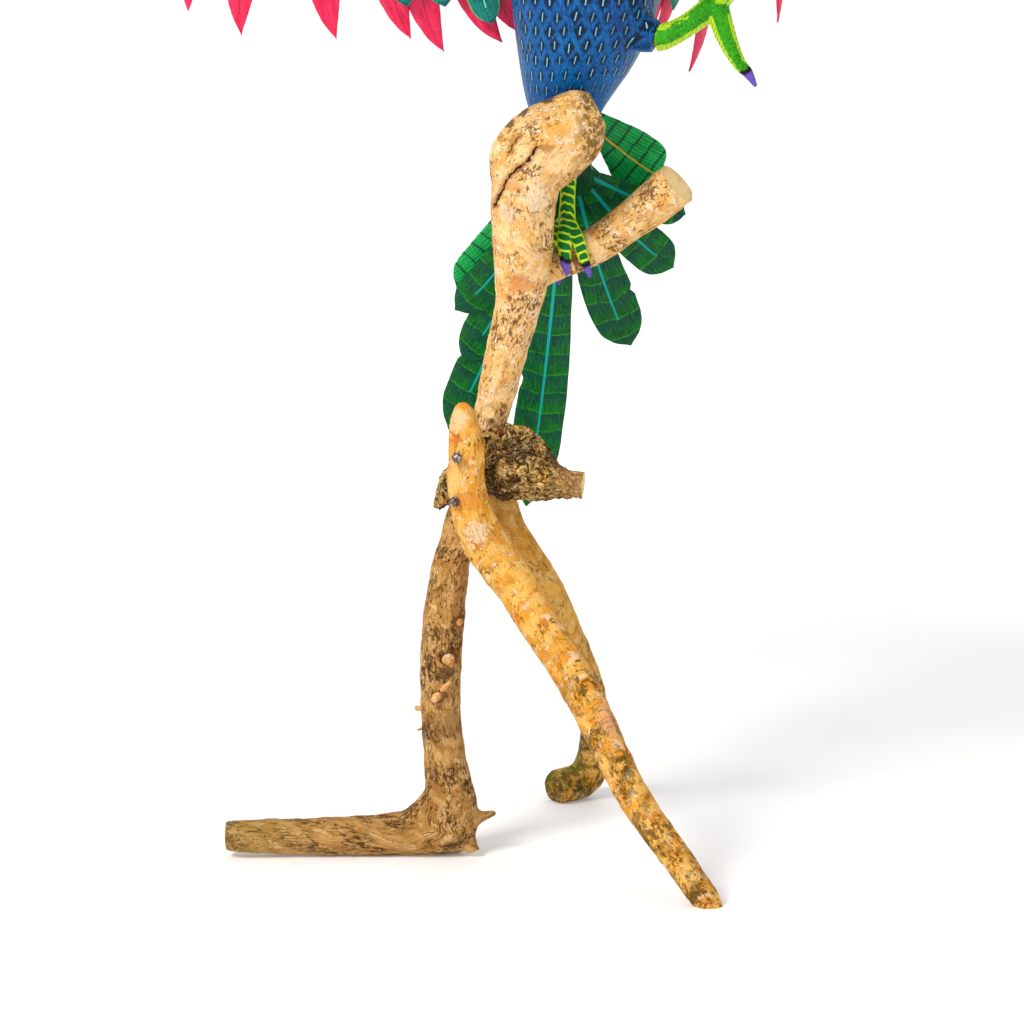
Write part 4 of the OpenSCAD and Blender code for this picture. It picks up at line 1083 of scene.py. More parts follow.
def raised_leg_finish():
    """The lifted leg: leaf green with lime dashes along its upper and lower edges."""
    material, wires, shader = new_material("leg_leaf_green", coat=0.05, coat_roughness=0.25)
    grain = wires.attribute("grain")
    _, _, z = wires.parts(grain)
    strokes = place_group(wires, BRUSH_STROKES, {
        "Stroke place": grain, "Stroke width": 1.4, "Stroke length": 9.0,
        "Thin paint": paint(58, 164, 14), "Full paint": paint(24, 116, 6), "Gloss spread": 0.12})
    right, _, top = wires.parts(wires.attribute("lean"))
    low = wires.rise(wires.parts(wires.add("ShaderNodeTexCoord").outputs["Object"])[2], 0.472, 0.462)
    edge = wires.math("MAXIMUM", wires.math("ABSOLUTE", top),
                      wires.math("MULTIPLY", wires.math("ABSOLUTE", right), low))
    ragged = wires.math("MULTIPLY_ADD", wires.noise(wires.scaled(grain, (1.0, 1.0, 0.5)), 0.9, 4.0, 0.7),
                        0.9, edge)
    lime = wires.rise(ragged, 1.0, 1.08)
    joint = wires.rise(wires.math("MULTIPLY_ADD", wires.noise(grain, 0.7, 3.0), 5.0, z), 23.5, 22.0)
    colour = wires.mix(wires.math("MULTIPLY", wires.math("MAXIMUM", lime, joint), 0.92), strokes["Colour"],
                       paint(190, 222, 40))
    dash = wires.rise(wires.math("FRACT", wires.math("DIVIDE", z, 2.6)), 0.32, 0.2)
    dash = wires.math("MULTIPLY", dash,
                      wires.rise(wires.math("ABSOLUTE", wires.math("SUBTRACT", ragged, 1.28)), 0.16, 0.06))
    colour = wires.mix(wires.math("MULTIPLY", dash, 0.8), colour, paint(18, 74, 8))
    colour = claw_paint(wires, colour, 13.6, 11.0)
    finish_material(wires, shader, colour, strokes["Roughness"], strokes["Height"], 0.0002, 0.6)
    return material


def block_finish():
    """The tail block's leaf green, brushed on thinly over its wood."""
    material, wires, shader = new_material("block_leaf_green", coat=0.05, coat_roughness=0.25)
    place = wires.scaled(wires.add("ShaderNodeTexCoord").outputs["Object"], (1000.0, 0.0, 1000.0))
    x, _, z = wires.parts(place)
    strokes = place_group(wires, BRUSH_STROKES, {
        "Stroke place": wires.vector(x, z, 0.0), "Stroke width": 1.0, "Stroke length": 9.0,
        "Thin paint": paint(0, 52, 30), "Full paint": paint(0, 84, 34), "Gloss spread": 0.14})
    worn = wires.rise(wires.noise(place, 0.25, 4.0, 0.7), 0.62, 0.7)
    colour = wires.mix(wires.math("MULTIPLY", worn, 0.7), strokes["Colour"], paint(12, 60, 110))
    finish_material(wires, shader, colour, strokes["Roughness"], strokes["Height"], 0.0002, 0.6)
    return material


def dowel_finish():
    """Turned beech: straight fine grain with short dark flecks."""
    material, wires, shader = new_material("dowel_turned_beech", specular=0.14)
    place = wires.scaled(wires.add("ShaderNodeTexCoord").outputs["Object"], (900.0, 120.0, 900.0))
    grain = wires.noise(place, 1.0, 4.0, 0.6)
    colour = wires.ramp(grain, (0.35, paint(196, 150, 96)), (0.55, paint(226, 186, 130)),
                        (0.7, paint(238, 206, 156)))
    fleck = wires.rise(wires.noise(wires.scaled(place, (2.0, 1.0, 2.0)), 1.0, 2.0), 0.66, 0.72)
    colour = wires.mix(wires.math("MULTIPLY", fleck, 0.6), colour, paint(140, 92, 50))
    finish_material(wires, shader, colour, wires.span(grain, 0.3, 0.7, 0.5, 0.65), grain, 0.0001, 0.6)
    return material


def eye_finish():
    """A painted eye: black pupil with a glint, a golden iris and a white rim, ringed by its distance out."""
    material, wires, shader = new_material("eye_painted_rings", coat=0.8, coat_roughness=0.08)
    out = wires.number("out")
    speck = wires.noise(wires.add("ShaderNodeTexCoord").outputs["Object"], 1500.0, 3.0)
    out = wires.math("MULTIPLY_ADD", wires.math("SUBTRACT", speck, 0.5), 0.12, out)
    colour = wires.ramp(out, (0.0, paint(6, 6, 8)), (0.42, paint(6, 6, 8)), (0.46, paint(226, 150, 24)),
                        (0.66, paint(246, 196, 60)), (0.7, paint(20, 12, 8)), (0.76, paint(240, 240, 232)),
                        (1.0, paint(250, 250, 244)))
    finish_material(wires, shader, colour, wires.span(out, 0.0, 1.0, 0.1, 0.35), speck, 0.00003, 0.4)
    return material


# ------------------------------------------------------------------ the stand

RELIEF = make_relief_tree()
NAIL = make_nail_tree()
STUB = make_stub_tree()
CARVING = make_feather_tree()


def hand_over(piece, body, slot, *nodes):
    """Lets a finished piece ride on its body and stand for its CAD nodes."""
    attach(piece, body)
    if nodes:
        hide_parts(*nodes)
    return piece


def held_smooth(piece, ends, rounds):
    """Rounds a branch's facets away but keeps its sawn ends flat and sharp."""
    mesh = piece.data
    places, pairs = points_of(mesh), edges_of(mesh)
    free = np.ones(len(places))
    for middle, way, reach in ends:
        offset = places - middle
        height = np.abs(offset @ way)
        radial = np.linalg.norm(offset - (offset @ way)[:, None] * way, axis=1)
        free = np.where((height < 1.6 * MM) & (radial < reach + 2 * MM), 0.0, free)
    free = free[:, None]
    for _ in range(rounds):
        places = places + free * 0.7 * (averaged(places, pairs, 1) - places)
    put_points(mesh, places)


def way_to_line(places, line):
    """Each point's distance, seen from the front, to a line through (x, z) points in mm."""
    flat = places[:, [0, 2]] / MM
    best = np.full(len(flat), 1e6)
    for start, end in zip(line[:-1], line[1:]):
        start, end = np.array(start, float), np.array(end, float)
        step = end - start
        share = np.clip(((flat - start) @ step) / (step @ step), 0, 1)
        best = np.minimum(best, np.linalg.norm(flat - start - share[:, None] * step, axis=1))
    return best


def make_branch(node, slot, material, start, voxel, relief, rounds=26, cracks=(), sawn=True):
    """A branch's fine skin, with bark relief, and rings on its ends if they are sawn."""
    piece = remeshed(node, node + "_skin", voxel, 1)
    ends = flat_ends(node) if sawn else []
    held_smooth(piece, ends, rounds)
    put_grain(piece, start)
    put_ends(piece, ends)
    places = points_of(piece.data)
    ways = normals_of(piece.data)
    gap = np.full(len(places), 99.0)
    jagged = places + 0.45 * MM * np.sin(places[:, [2, 0, 1]] / (0.62 * MM)) * np.sin(places[:, [1, 2,
                                                                                                 0]]
                                                                                      / (1.3 * MM))
    for line, front, weight in cracks:
        near = way_to_line(jagged, line)
        near = np.where(places[:, 1] < front, near, 99.0)
        places = places - ways * (weight * 1.3 * MM * np.exp(-(near / 0.9) ** 2))[:, None]
        gap = np.minimum(gap, near + 0.45 * (1 - weight))
    put_points(piece.data, places)
    put_number(piece.data, "crack", gap)
    run_geometry(piece, RELIEF, dict(relief, Material=material))
    smooth_shaded(piece)
    return hand_over(piece, STAND, slot, node)


trunk_material = branch_finish(
    "trunk_peeled_peach", (246, 204, 144), (230, 174, 94), (104, 62, 24), flecks=0.5, fleck_size=1.7,
    fissures=0.4, streaks=0.3, rust=(206, 136, 62), chip=(253, 228, 196), marks=trunk_marks)
front_leg_material = branch_finish(
    "front_leg_ochre_bark", (242, 190, 96), (226, 152, 44), (96, 66, 20), fleck_size=1.9,
    fissures=0.4, streaks=0.34, rust=(200, 108, 24), chip=(250, 214, 170), cover=lower_leg_cover,
    marks=front_leg_marks)
back_leg_material = branch_finish(
    "back_leg_ochre_bark", (226, 174, 84), (204, 142, 46), (84, 66, 20), fleck_size=2.0,
    fissures=0.45, streaks=0.4, rust=(170, 112, 34), chip=(236, 196, 130), cover=lower_leg_cover,
    marks=back_leg_marks)
side_leg_material = branch_finish(
    "side_leg_brown_bark", (208, 160, 96), (174, 124, 60), (66, 38, 12), flecks=0.52, fleck_size=1.8,
    fissures=0.9, streaks=0.62, rust=(150, 96, 38), chip=(232, 192, 132), marks=side_leg_marks)
hub_material = burl_finish()
steel_material = steel_finish()

CRACK = [(21, 363), (22.4, 366.6), (25.5, 372), (27.9, 377.7), (32.4, 383.3), (36, 386), (39.7, 388.8),
         (43.8, 396)]
SMALL_CRACK = [(29.7, 392.6), (31.5, 397.3), (35.2, 402)]
make_branch("trunk", "peeled_wood", trunk_material, (0.018, -0.09, 0.222), 0.9 * MM,
            {"Lump depth": 0.0017, "Lump size": 9.0, "Ridge depth": 0.0008, "Pit depth": 0.0005, "Seed": 3},
            cracks=[(CRACK, -0.085, 1.0), (SMALL_CRACK, -0.085, 0.35)])
make_branch("front_leg", "smooth_branch", front_leg_material, (0.0, -0.12, 0.251), 0.9 * MM,
            {"Lump depth": 0.0020, "Lump size": 9.0, "Ridge depth": 0.0009, "Pit depth": 0.0005, "Seed": 5})
make_branch("back_leg", "smooth_branch", back_leg_material, (0.02, -0.06, 0.228), 0.9 * MM,
            {"Lump depth": 0.0014, "Lump size": 10.0, "Ridge depth": 0.0007, "Pit depth": 0.0004, "Seed": 8},
            sawn=False)
make_branch("side_leg", "grey_branch", side_leg_material, (0.0, -0.1, 0.199), 0.9 * MM,
            {"Lump depth": 0.0018, "Lump size": 8.0, "Ridge depth": 0.0012, "Ridge width": 3.0,
             "Pit depth": 0.0006, "Seed": 11})
make_branch("hub_burl", "rough_bark", hub_material, (-0.01, -0.09, 0.22), 0.7 * MM,
            {"Lump depth": 0.0042, "Lump size": 6.5, "Ridge depth": 0.0038, "Ridge width": 2.6,
             "Ridge length": 6.0, "Pit depth": 0.0014, "Twist": 2.6, "Seed": 13}, rounds=16)


def loose_parts(mesh):
    """The vertex numbers of each separate part of a mesh."""
    pairs = edges_of(mesh)
    joined = np.unique(pairs)
    label = list(range(len(mesh.vertices)))

    def root(item):
        while label[item] != item:
            label[item] = label[label[item]]
            item = label[item]
        return item

    for a, b in pairs.tolist():
        label[root(a)] = root(b)
    roots = np.array([root(item) for item in range(len(label))])
    return [np.flatnonzero(roots == own) for own in np.unique(roots[joined])]


def long_way(places):
    """A point set's middle and its longest direction."""
    middle = places.mean(axis=0)
    return middle, np.linalg.svd(places - middle, full_matrices=False)[2][0]


def make_nails(node, name, head_radius=2.9, head_height=2.3, shank_radius=1.15):
    """New nails where a CAD node's nails are: the end that is thicker is the head."""
    mesh = merged_mesh(node)
    places = points_of(mesh)
    heads, aims, reach = [], [], 0.0
    for part in loose_parts(mesh):
        nail = places[part]
        middle, way = long_way(nail)
        along = (nail - middle) @ way
        around = np.linalg.norm(nail - middle - along[:, None] * way, axis=1)
        if around[along > 0].max() < around[along < 0].max():
            way, along = -way, -along
        reach = max(reach, along.max() - along.min())
        heads.append(middle + (along.max() - head_height * MM) * way)
        aims.append(way)
    if not heads:
        return
    points = mesh_from(name, heads, [])
    put_vector(points, "aim", np.array(aims))
    piece = link(bpy.data.objects.new(name, points))
    run_geometry(piece, NAIL, {
        "Head radius": head_radius * MM, "Head height": head_height * MM, "Shank radius": shank_radius * MM,
        "Shank length": reach - 3 * MM, "Material": steel_material})
    smooth_shaded(piece)
    hand_over(piece, STAND, "nail_steel", node)


make_nails("front_leg_nails", "front_leg_round_nails")
make_nails("side_leg_nail", "side_leg_round_nail")
make_nails("back_leg_nails", "back_leg_round_nails")
make_nails("foot_pin", "foot_pin_wire", 1.35, 1.0, 1.3)

for node, material in (("belly_dowel", dowel_finish()), ("tail_block", block_finish())):
    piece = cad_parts[node]
    piece.data.materials.clear()
    piece.data.materials.append(material)


def make_stubs(name, slot, material, rows, skin, taper=0.2, seed=4):
    """Broken twigs that stand on a branch: rows of (x, z) or (x, y, z), aim, radius and length in mm."""
    tree = BVHTree.FromObject(skin, bpy.context.evaluated_depsgraph_get())
    heads, aims, sizes = [], [], []
    for place, aim, radius, length in rows:
        if len(place) == 2:
            hit = tree.ray_cast(Vector((place[0] * MM, -0.4, place[1] * MM)), Vector((0, 1, 0)))[0]
        else:
            hit = tree.find_nearest(Vector(place) * MM)[0]
        heads.append(hit)
        aims.append(Vector(aim).normalized())
        sizes.append((radius * MM, radius * MM, length * MM))
    points = mesh_from(name, heads, [])
    put_vector(points, "aim", np.array(aims))
    put_vector(points, "size", np.array(sizes))
    piece = link(bpy.data.objects.new(name, points))
    run_geometry(piece, STUB, {"Taper": taper, "Seed": seed, "Material": material})
    places = points_of(piece.data) / MM
    put_vector(piece.data, "grain", places)
    return hand_over(smooth_shaded(piece), STAND, slot)


knot_material = branch_finish("knots_broken_orange", (240, 196, 130), (214, 148, 74), (120, 70, 28),
                              flecks=0.3,
                              fleck_size=1.4, fissures=0.2, streaks=0.6)
splinter_material = branch_finish("splinters_frayed_orange", (224, 132, 62), (200, 92, 30), (120, 56, 20),
                                  flecks=0.3,
                                  fleck_size=1.2, fissures=0.2, streaks=0.6)
side_skin = bpy.data.objects["side_leg_skin"]
make_stubs("side_leg_twig_stubs", "grey_branch", knot_material, [
    ((-4, 114), (0.25, -1, 0.3), 4.0, 1.9), ((-11, 92), (-0.6, -1, -0.5), 2.9, 2.4),
    ((-6, 98), (0.8, -0.5, 0.8), 1.9, 5.2), ((-23, -100, 83), (-1, -0.1, 0.1), 2.0, 3.4),
    ((2, 134), (0.5, -0.8, 0.2), 2.8, 1.6), ((-24, -101, 72), (-1, -0.3, -0.3), 0.9, 2.6)], side_skin)
make_stubs("front_leg_twig_stubs", "smooth_branch", splinter_material, [
    ((0.5, 240), (-0.9, -0.6, 0.2), 2.4, 1.3), ((0, 241.5), (-0.9, -0.3, 1.2), 0.5, 4.2),
    ((0.5, 239), (-0.9, -0.6, 0.2), 0.6, 3.0), ((2, 241), (-0.2, -0.8, 0.9), 0.6, 2.6),
    ((3, 239.5), (0.6, -0.9, -0.1), 0.6, 2.4), ((1.5, 237.5), (-0.6, -0.8, -0.7), 0.5, 2.4)],
    bpy.data.objects["front_leg_skin"], seed=6)

# ------------------------------------------------------------------ the bird's body and legs

BODY_TURN = math.radians(28)
BODY_MIDDLE = np.array([74.0, -70.0])
BODY_LINE = np.array([
    (-6.4, 16.5, 387, 12.5), (-8.4, 14.5, 403, 16.8), (-9.2, 12, 416, 21.9), (-8.4, 9, 430, 27.5),
    (-6.4, 5.5, 446, 33.6), (-3.6, 2.5, 468, 39.3), (-1.8, 0, 498, 42), (0, -1, 525, 41),
    (1.6, -1, 548, 36.5),
    (3.2, -1.5, 570, 29), (4.2, -4, 590, 23.2), (5, -6, 608, 20.7), (5, -9, 628, 21.5), (4, -10, 654, 10)])
HEAD_MIDDLE = np.array([4.5, -9.0])
HEAD_HEIGHT = 632.0
HEAD_TURN = BODY_TURN + math.radians(24)


def turned(x, y, angle):
    return x * math.cos(angle) - y * math.sin(angle), x * math.sin(angle) + y * math.cos(angle)


def body_axis(height):
    """The body's middle and radius, in mm, at each height in mm."""
    x, y = (np.interp(height, BODY_LINE[:, 2], BODY_LINE[:, column]) for column in (0, 1))
    x, y = turned(x, y, BODY_TURN)
    return x + BODY_MIDDLE[0], y + BODY_MIDDLE[1], np.interp(height, BODY_LINE[:, 2], BODY_LINE[:, 3])


def head_place(places):
    """Places in mm as (ahead of, to the side of, above) the head's middle."""
    x, y = turned(*HEAD_MIDDLE, BODY_TURN)
    x, y = turned(places[:, 0] - x - BODY_MIDDLE[0], places[:, 1] - y - BODY_MIDDLE[1], -HEAD_TURN)
    return np.stack([-y, x, places[:, 2] - HEAD_HEIGHT], axis=1)


torso_material = torso_finish()
torso = remeshed("torso", "bird_body", 1.0 * MM, 9)
places = points_of(torso.data) / MM
middle_x, middle_y, body_radius = body_axis(places[:, 2])
out_x, out_y = places[:, 0] - middle_x, places[:, 1] - middle_y
out = np.hypot(out_x, out_y)
beyond = np.maximum(0, out - body_radius - 1)
inside = (out < body_radius - 3.5) & (places[:, 2] > 440) & (places[:, 2] < 600)
rows = places[:, 2] - 0.75 * beyond
put_vector(torso.data, "round", np.stack([out_x / out, out_y / out, rows], axis=1))
put_vector(torso.data, "stroke", np.stack([places[:, 0] - places[:, 1] * 0.6, rows, places[:, 1]], axis=1))
put_vector(torso.data, "head", head_place(places))
put_number(torso.data, "hidden_wood", inside.astype(float))
torso.data.materials.clear()
torso.data.materials.append(torso_material)
hand_over(torso, STAND, "blue_paint", "torso")


def make_eye(side):
    """A low dome let into the side of the head."""
    tree = BVHTree.FromObject(torso, bpy.context.evaluated_depsgraph_get())
    x, y = turned(*HEAD_MIDDLE, BODY_TURN)
    head = Vector((x + BODY_MIDDLE[0], y + BODY_MIDDLE[1], HEAD_HEIGHT)) * MM
    ahead_x, ahead_y = turned(0, -1, HEAD_TURN)
    side_x, side_y = turned(side, 0, HEAD_TURN)
    aim = Vector((side_x, side_y, 0.12)) + 0.42 * Vector((ahead_x, ahead_y, 0))
    aim.normalize()
    start = head + Vector((ahead_x, ahead_y, 0)) * 9 * MM + Vector((0, 0, 7 * MM))
    hit, normal, _, _ = tree.ray_cast(start + aim * 60 * MM, -aim)
    bm = bmesh.new()
    bmesh.ops.create_uvsphere(bm, u_segments=36, v_segments=24, radius=1.0)
    shares = []
    for vertex in bm.verts:
        shares.append(min(1.0, math.hypot(vertex.co.x, vertex.co.y)) if vertex.co.z > 0 else 1.0)
        vertex.co = Vector((vertex.co.x * 5.2, vertex.co.y * 5.2,
                            vertex.co.z * (2.6 if vertex.co.z > 0 else 1.5))) * MM
    turn = Vector((0, 0, 1)).rotation_difference(normal).to_matrix().to_4x4()
    bm.transform(Matrix.Translation(hit - normal * 0.4 * MM) @ turn)
    mesh = bpy.data.meshes.new("eye")
    bm.to_mesh(mesh)
    bm.free()
    put_number(mesh, "out", shares)
    return mesh


eye_material = eye_finish()
for label, side in (("right", -1), ("left", 1)):
    eye = smooth_shaded(link(bpy.data.objects.new(label + "_eye", make_eye(side))))
    eye.data.materials.append(eye_material)
    hand_over(eye, STAND, "bare_wood")


def make_leg(node, name, slot, material, start, claw_tips, outward):
    """A leg with its toes: grain along each, how far each point faces out, and how far off a claw's tip is."""
    piece = remeshed(node, name, 0.55 * MM, 5)
    put_grain(piece, start, slab=2 * MM, rounds=10)
    mesh = piece.data
    places, pairs = points_of(mesh), edges_of(mesh)
    tips = [np.argmin(np.linalg.norm(places - np.array(tip) * MM, axis=1)) for tip in claw_tips]
    put_number(mesh, "to_tip", np.minimum(walk(places, pairs, tips) / MM, 60))
    outward = np.array(outward) / np.linalg.norm(outward)
    ways = averaged(normals_of(mesh), pairs, 3)
    put_number(mesh, "facing", ways @ outward)
    put_vector(mesh, "lean", ways)
    mesh.materials.clear()
    mesh.materials.append(material)
    return hand_over(piece, STAND, slot, node)


make_leg("perched_leg", "standing_leg", "lime_paint", perched_leg_finish(), (0.064, -0.069, 0.402),
         [(61, -92.4, 323.5), (73.5, -91.8, 322.5), (49.4, -92, 321), (56.6, -66.4, 315)], (0.0, -1.0, 0.35))
make_leg("raised_leg", "lifted_leg", "leaf_paint", raised_leg_finish(), (0.092, -0.08, 0.46),
         [(161.5, -105.3, 427), (172.5, -115.5, 475.5), (142, -135, 483), (155, -72, 500)], (0.1, -1.0, 0.0))

# ------------------------------------------------------------------ feathers

def ring_order(mesh):
    """The rings of a swept blade from its root to its tip, as lists of vertex numbers."""
    bm = bmesh.new()
    bm.from_mesh(mesh)
    bm.verts.ensure_lookup_table()
    bmesh.ops.dissolve_limit(bm, angle_limit=math.radians(0.05), verts=[], edges=bm.edges)
    caps = [(face.calc_center_median(), face.calc_area(), [vertex.index for vertex in face.verts])
            for face in bm.faces if len(face.verts) == 6]
    bm.free()
    best = max(((a, b) for a in caps for b in caps), key=lambda pair: (pair[0][0] - pair[1][0]).length)
    ring = max(best, key=lambda cap: cap[1])[2]
    near = {}
    for a, b in edges_of(mesh).tolist():
        near.setdefault(a, set()).add(b)
        near.setdefault(b, set()).add(a)
    rings, seen = [], set()
    while ring:
        rings.append(ring)
        seen.update(ring)
        ring = sorted({there for here in ring for there in near[here]} - seen)
    return rings


def blade_spine(mesh):
    """A blade's middle line, its way across, its half width and its half thickness at each ring."""
    places = points_of(mesh)
    rings = [places[ring] for ring in ring_order(mesh)]
    middles = np.array([ring.mean(axis=0) for ring in rings])
    heading = np.gradient(middles, axis=0)
    across, wide, thick = [], [], []
    for ring, middle, ahead in zip(rings, middles, heading):
        ahead = ahead / np.linalg.norm(ahead)
        offset = ring - middle
        way = across[-1] if across else None
        spread = np.linalg.svd(offset, full_matrices=False)
        if way is None or spread[1][0] > 1.7 * spread[1][1]:
            found = spread[2][0]
            way = found if way is None or found @ way > 0 else -found
        way = way - (way @ ahead) * ahead
        way = way / np.linalg.norm(way)
        deep = np.cross(ahead, way)
        across.append(way)
        wide.append(np.abs(offset @ way).max())
        thick.append(np.abs(offset @ deep).max())
    return middles, np.array(across), np.array(wide), np.array(thick)


def eased(values, at, fine):
    """A smooth curve through values given at these places, read at finer places."""
    values = values.reshape(len(values), -1)
    slopes = np.stack([np.gradient(values[:, column], at) for column in range(values.shape[1])], axis=1)
    item = np.clip(np.searchsorted(at, fine, side="right") - 1, 0, len(at) - 2)
    gap = (at[item + 1] - at[item])[:, None]
    t = ((fine - at[item])[:, None]) / gap
    return ((2 * t**3 - 3 * t**2 + 1) * values[item] + (t**3 - 2 * t**2 + t) * gap * slopes[item]
            + (3 * t**2 - 2 * t**3) * values[item + 1] + (t**3 - t**2) * gap * slopes[item + 1])


def blade_mesh(middles, across, wide, thick, chance, rounding, notch, waist, stations=72, half=13):
    """Lofts one feather afresh: lens-shaped across, rounded at its tip, closed at both ends."""
    steps = np.linalg.norm(np.diff(middles, axis=0), axis=1)
    at = np.concatenate([[0], np.cumsum(steps)])
    length = at[-1]
    fine = length * (1 - (1 - np.linspace(0, 1, stations)) ** 1.35)
    share = fine / length
    line = eased(middles, at, fine)
    side = eased(across, at, fine)
    side /= np.linalg.norm(side, axis=1)[:, None]
    width = np.interp(fine, at, wide) * 0.5 + eased(wide, at, fine)[:, 0] * 0.5
    depth = np.interp(fine, at, thick)
    ahead = np.gradient(line, fine, axis=0)
    ahead /= np.linalg.norm(ahead, axis=1)[:, None]
    deep = np.cross(ahead, side)
    drawn_in = np.clip(share / max(waist, 0.001), 0.14, 1)
    tip = np.clip((share - rounding) / (1 - rounding), 0, 1)
    width = width * np.sqrt(np.clip(1 - tip**2.4, 0.002, 1))
    phase = chance.uniform(0, math.tau, 4)
    places, blade, rim = [], [], []
    sheet = np.cos(np.linspace(math.pi, 0, half))
    sections = [(a, 1) for a in sheet] + [(a, -1) for a in sheet[-2:0:-1]]
    for item in range(stations):
        s = share[item]
        for a, face in sections:
            edge = 1 + (0.012 * math.sin(19 * s + phase[0] + a) + 0.01
                        * math.sin(41 * s + phase[1] * (1 + a)))
            if notch:
                dent = math.exp(-((s - notch[0]) / 0.018) ** 2) * (a * notch[1] > 0.6)
                edge -= 0.13 * dent
            lens = depth[item] * (0.5 + 0.5 * (1 - abs(a) ** 1.6)) * math.sqrt(max(0.0, 1 - abs(a) ** 9))
            reach = a * width[item] * min(edge, 1.0)
            if a * side[item][2] < 0:
                reach *= drawn_in[item]
            places.append(line[item] + side[item] * reach + deep[item] * (face * lens))
            blade.append((reach / MM, fine[item] / MM, s))
            rim.append(a)
    size = len(sections)
    faces = []
    for item in range(stations - 1):
        for k in range(size):
            low, high = item * size, (item + 1) * size
            faces.append((low + k, low + (k + 1) % size, high + (k + 1) % size, high + k))
    for item, ends in ((0, -0.4 * MM), (stations - 1, 0.25 * MM)):
        pole = len(places)
        places.append(line[item] + ahead[item] * ends * 0.2)
        blade.append((0.0, fine[item] / MM, share[item]))
        rim.append(0.0)
        ring = [item * size + k for k in range(size)]
        for k in range(size):
            a, b = ring[k], ring[(k + 1) % size]
            faces.append((b, a, pole) if item == 0 else (a, b, pole))
    return places, faces, blade, rim


def outward_faces(mesh):
    """Turns a closed mesh's faces outwards."""
    bm = bmesh.new()
    bm.from_mesh(mesh)
    bmesh.ops.recalc_face_normals(bm, faces=bm.faces)
    if bm.calc_volume(signed=True) < 0:
        bmesh.ops.reverse_faces(bm, faces=bm.faces)
    bm.to_mesh(mesh)
    bm.free()


def make_feathers(node, body, slot, material, seed, rounding=0.86, notch=None, carving=None, waist=0.0):
    """Rebuilds the blades of one CAD node as one carved and painted piece."""
    chance = np.random.default_rng(seed)
    mesh = merged_mesh(node)
    whole = points_of(mesh)
    places, faces, blade, rim, owns = [], [], [], [], []
    for part in loose_parts(mesh):
        number = {old: new for new, old in enumerate(part.tolist())}
        own_faces = [[number[v] for v in face.vertices] for face in mesh.polygons
                     if face.vertices[0] in number]
        single = mesh_from(node + "_blade", whole[part], own_faces)
        own = chance.uniform()
        made = blade_mesh(*blade_spine(single), chance, rounding, notch, waist)
        step = len(places)
        places += made[0]
        faces += [tuple(v + step for v in face) for face in made[1]]
        blade += made[2]
        rim += made[3]
        owns += [own] * len(made[0])
    fresh = mesh_from(node + "_plume", places, faces)
    outward_faces(fresh)
    put_vector(fresh, "blade", np.array(blade))
    put_number(fresh, "rim", np.array(rim))
    put_number(fresh, "own", np.array(owns))
    piece = link(bpy.data.objects.new(node + "_plume", fresh))
    run_geometry(piece, CARVING, dict(carving or {}, Seed=seed, Material=material))
    return hand_over(smooth_shaded(piece), body, slot, node)


tail_material = tail_finish()
covert_material = covert_finish()
crimson_material = crimson_finish()
teal_material = teal_finish()
wing_material = wing_arm_finish()
NOTCHES = {1: (0.62, 1), 2: (0.7, -1), 5: (0.72, 1), 6: (0.6, 1)}
for i in range(1, 8):
    make_feathers(f"tail_feather_{i}", "tail", "tail_paint", tail_material, 20 + i, 0.84, NOTCHES.get(i),
                  {"Shaft height": 0.00015, "Barb depth": 0.00004})
for i in range(1, 5):
    make_feathers(f"tail_covert_{i}", "tail", "covert_paint", covert_material, 40 + i)
make_feathers("rump_feather", STAND, "covert_paint", covert_material, 50, 0.9, waist=0.7)
make_feathers("crest_plumes", STAND, "crimson_paint", crimson_material, 55, 0.9)
for side in SIDES:
    body = BODY_OF_SIDE[side]
    make_feathers(f"{side}_wing_coverts", body, "teal_paint", teal_material, 60, 0.88)
    for i in range(1, 14):
        make_feathers(f"{side}_wing_feather_{i}", body, "crimson_paint", crimson_material, 70 + i, 0.93)
    for part in ("arm", "backing"):
        node = f"{side}_wing_{part}"
        piece = remeshed(node, node + "_skin", 1.1 * MM, 6)
        low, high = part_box(node)
        start = (low[0] if side == "left" else high[0], -0.066 if side == "right" else low[1], 0.545)
        put_grain(piece, start)
        places = points_of(piece.data) / MM
        flat = np.stack([places[:, 0], np.zeros(len(places)), places[:, 2]], axis=1)
        put_vector(piece.data, "flat", flat)
        put_vector(piece.data, "stroke", np.stack([places[:, 0] * 0.9, places[:, 2], places[:, 1]], axis=1))
        piece.data.materials.clear()
        piece.data.materials.append(wing_material)
        hand_over(piece, body, "blue_paint", node)

# ------------------------------------------------------------------ the studio

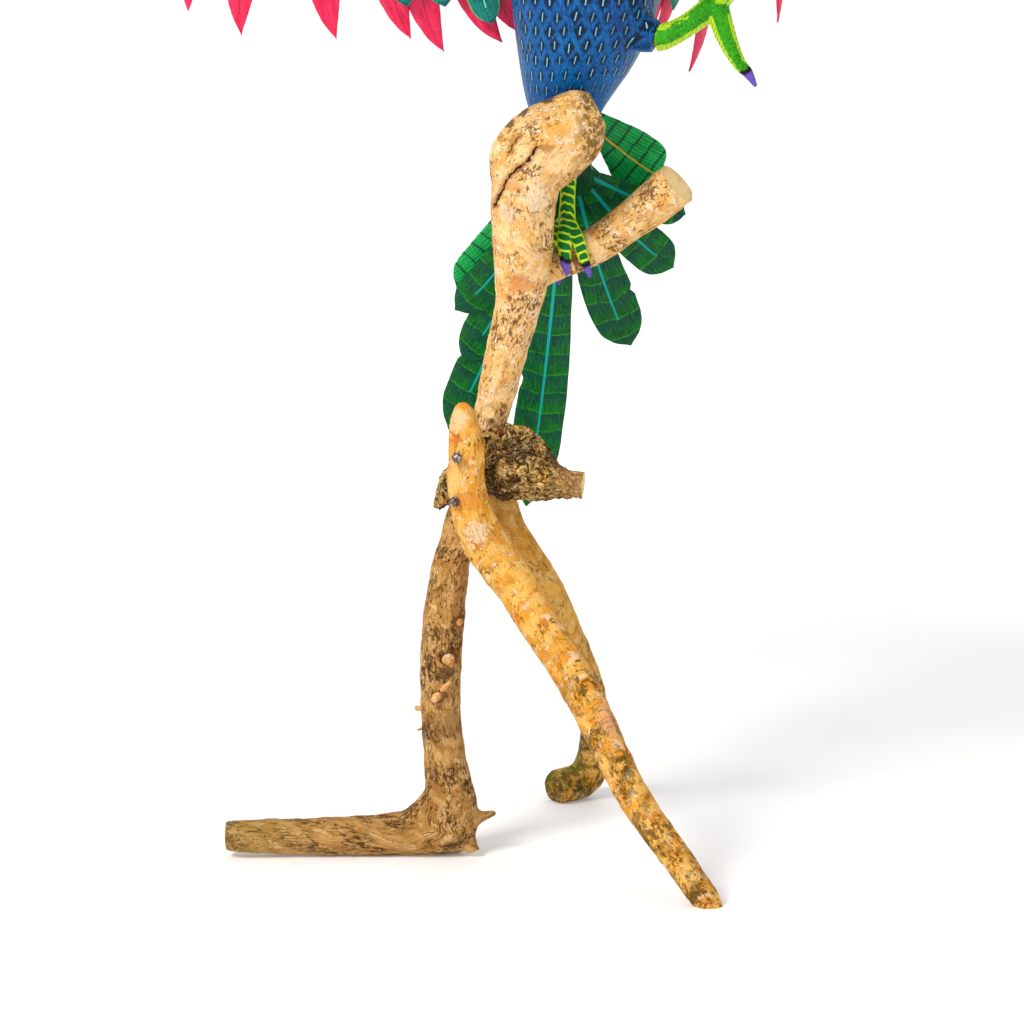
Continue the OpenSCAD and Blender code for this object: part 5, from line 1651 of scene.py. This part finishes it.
def make_floor():
    """A wide pale floor that glows as painted light: dim grey near the middle, full white from 1.3 m out."""
    material, wires, shader = new_material("studio_paper", specular=0.1)
    place = wires.add("ShaderNodeTexCoord").outputs["Object"]
    tooth = wires.noise(place, 60.0, 3.0)
    colour = wires.mix(tooth, paint(248, 248, 248), paint(253, 253, 253))
    x, y, _ = wires.parts(place)
    away = wires.math("SQRT", wires.math("ADD", wires.math("MULTIPLY", x, x), wires.math("MULTIPLY", y, y)))
    # painted light: the floor's own glow, dim round the object and brighter further away
    glow = wires.mix(wires.rise(away, 0.3, 1.3), paint(124, 124, 124), paint(255, 255, 255))
    wires.tree.links.new(glow, shader.inputs["Emission Color"])
    shader.inputs["Emission Strength"].default_value = 0.52
    finish_material(wires, shader, colour, wires.span(tooth, 0.0, 1.0, 0.8, 0.95), tooth, 0.0002, 0.1)
    corners = [(-30.0, -30.0, 0.0), (30.0, -30.0, 0.0), (30.0, 30.0, 0.0), (-30.0, 30.0, 0.0)]
    floor = link(bpy.data.objects.new("studio_floor", mesh_from("studio_floor", corners, [(0, 1, 2, 3)])))
    floor.data.materials.append(material)


def make_light(name, place, aim, size, power, tint=(1.0, 1.0, 1.0)):
    lamp = bpy.data.lights.new(name, "AREA")
    lamp.energy = power
    lamp.size = size
    lamp.color = tint
    light = link(bpy.data.objects.new(name, lamp))
    light.location = place
    light.rotation_euler = (Vector(aim) - Vector(place)).to_track_quat("-Z", "Y").to_euler()


make_floor()
MIDDLE = (0.03, -0.08, 0.35)
CAMERA_PLACE = (0.031, -2.05725, 0.57476)
CAMERA_TILT = math.radians(79)
LENS_MM = 127.84
make_light("key_softbox", (-1.3, -1.5, 1.9), MIDDLE, 0.8, 46.0, (1.0, 0.985, 0.96))
make_light("fill_softbox", (1.7, -1.3, 1.2), MIDDLE, 1.2, 6.0)
make_light("rim_softbox", (0.5, 1.6, 1.7), MIDDLE, 1.2, 8.0)

world = bpy.data.worlds.new("studio_surround")
world.use_nodes = True
surround = Tree(world.node_tree)
seen = surround.add("ShaderNodeLightPath").outputs["Is Camera Ray"]
backdrop = world.node_tree.nodes["Background"]
backdrop.inputs["Color"].default_value = (1.0, 1.0, 1.0, 1.0)
world.node_tree.links.new(surround.span(seen, 0.0, 1.0, 0.52, 1.0), backdrop.inputs["Strength"])
bpy.context.scene.world = world
bpy.context.scene.view_settings.view_transform = "Standard"

lens = bpy.data.cameras.new("studio_camera")
lens.sensor_width = 36.0
lens.lens = LENS_MM
lens.clip_end = 60.0
camera = link(bpy.data.objects.new("studio_camera", lens))
camera.location = CAMERA_PLACE
camera.rotation_euler = (CAMERA_TILT, 0.0, 0.0)
bpy.context.scene.camera = camera
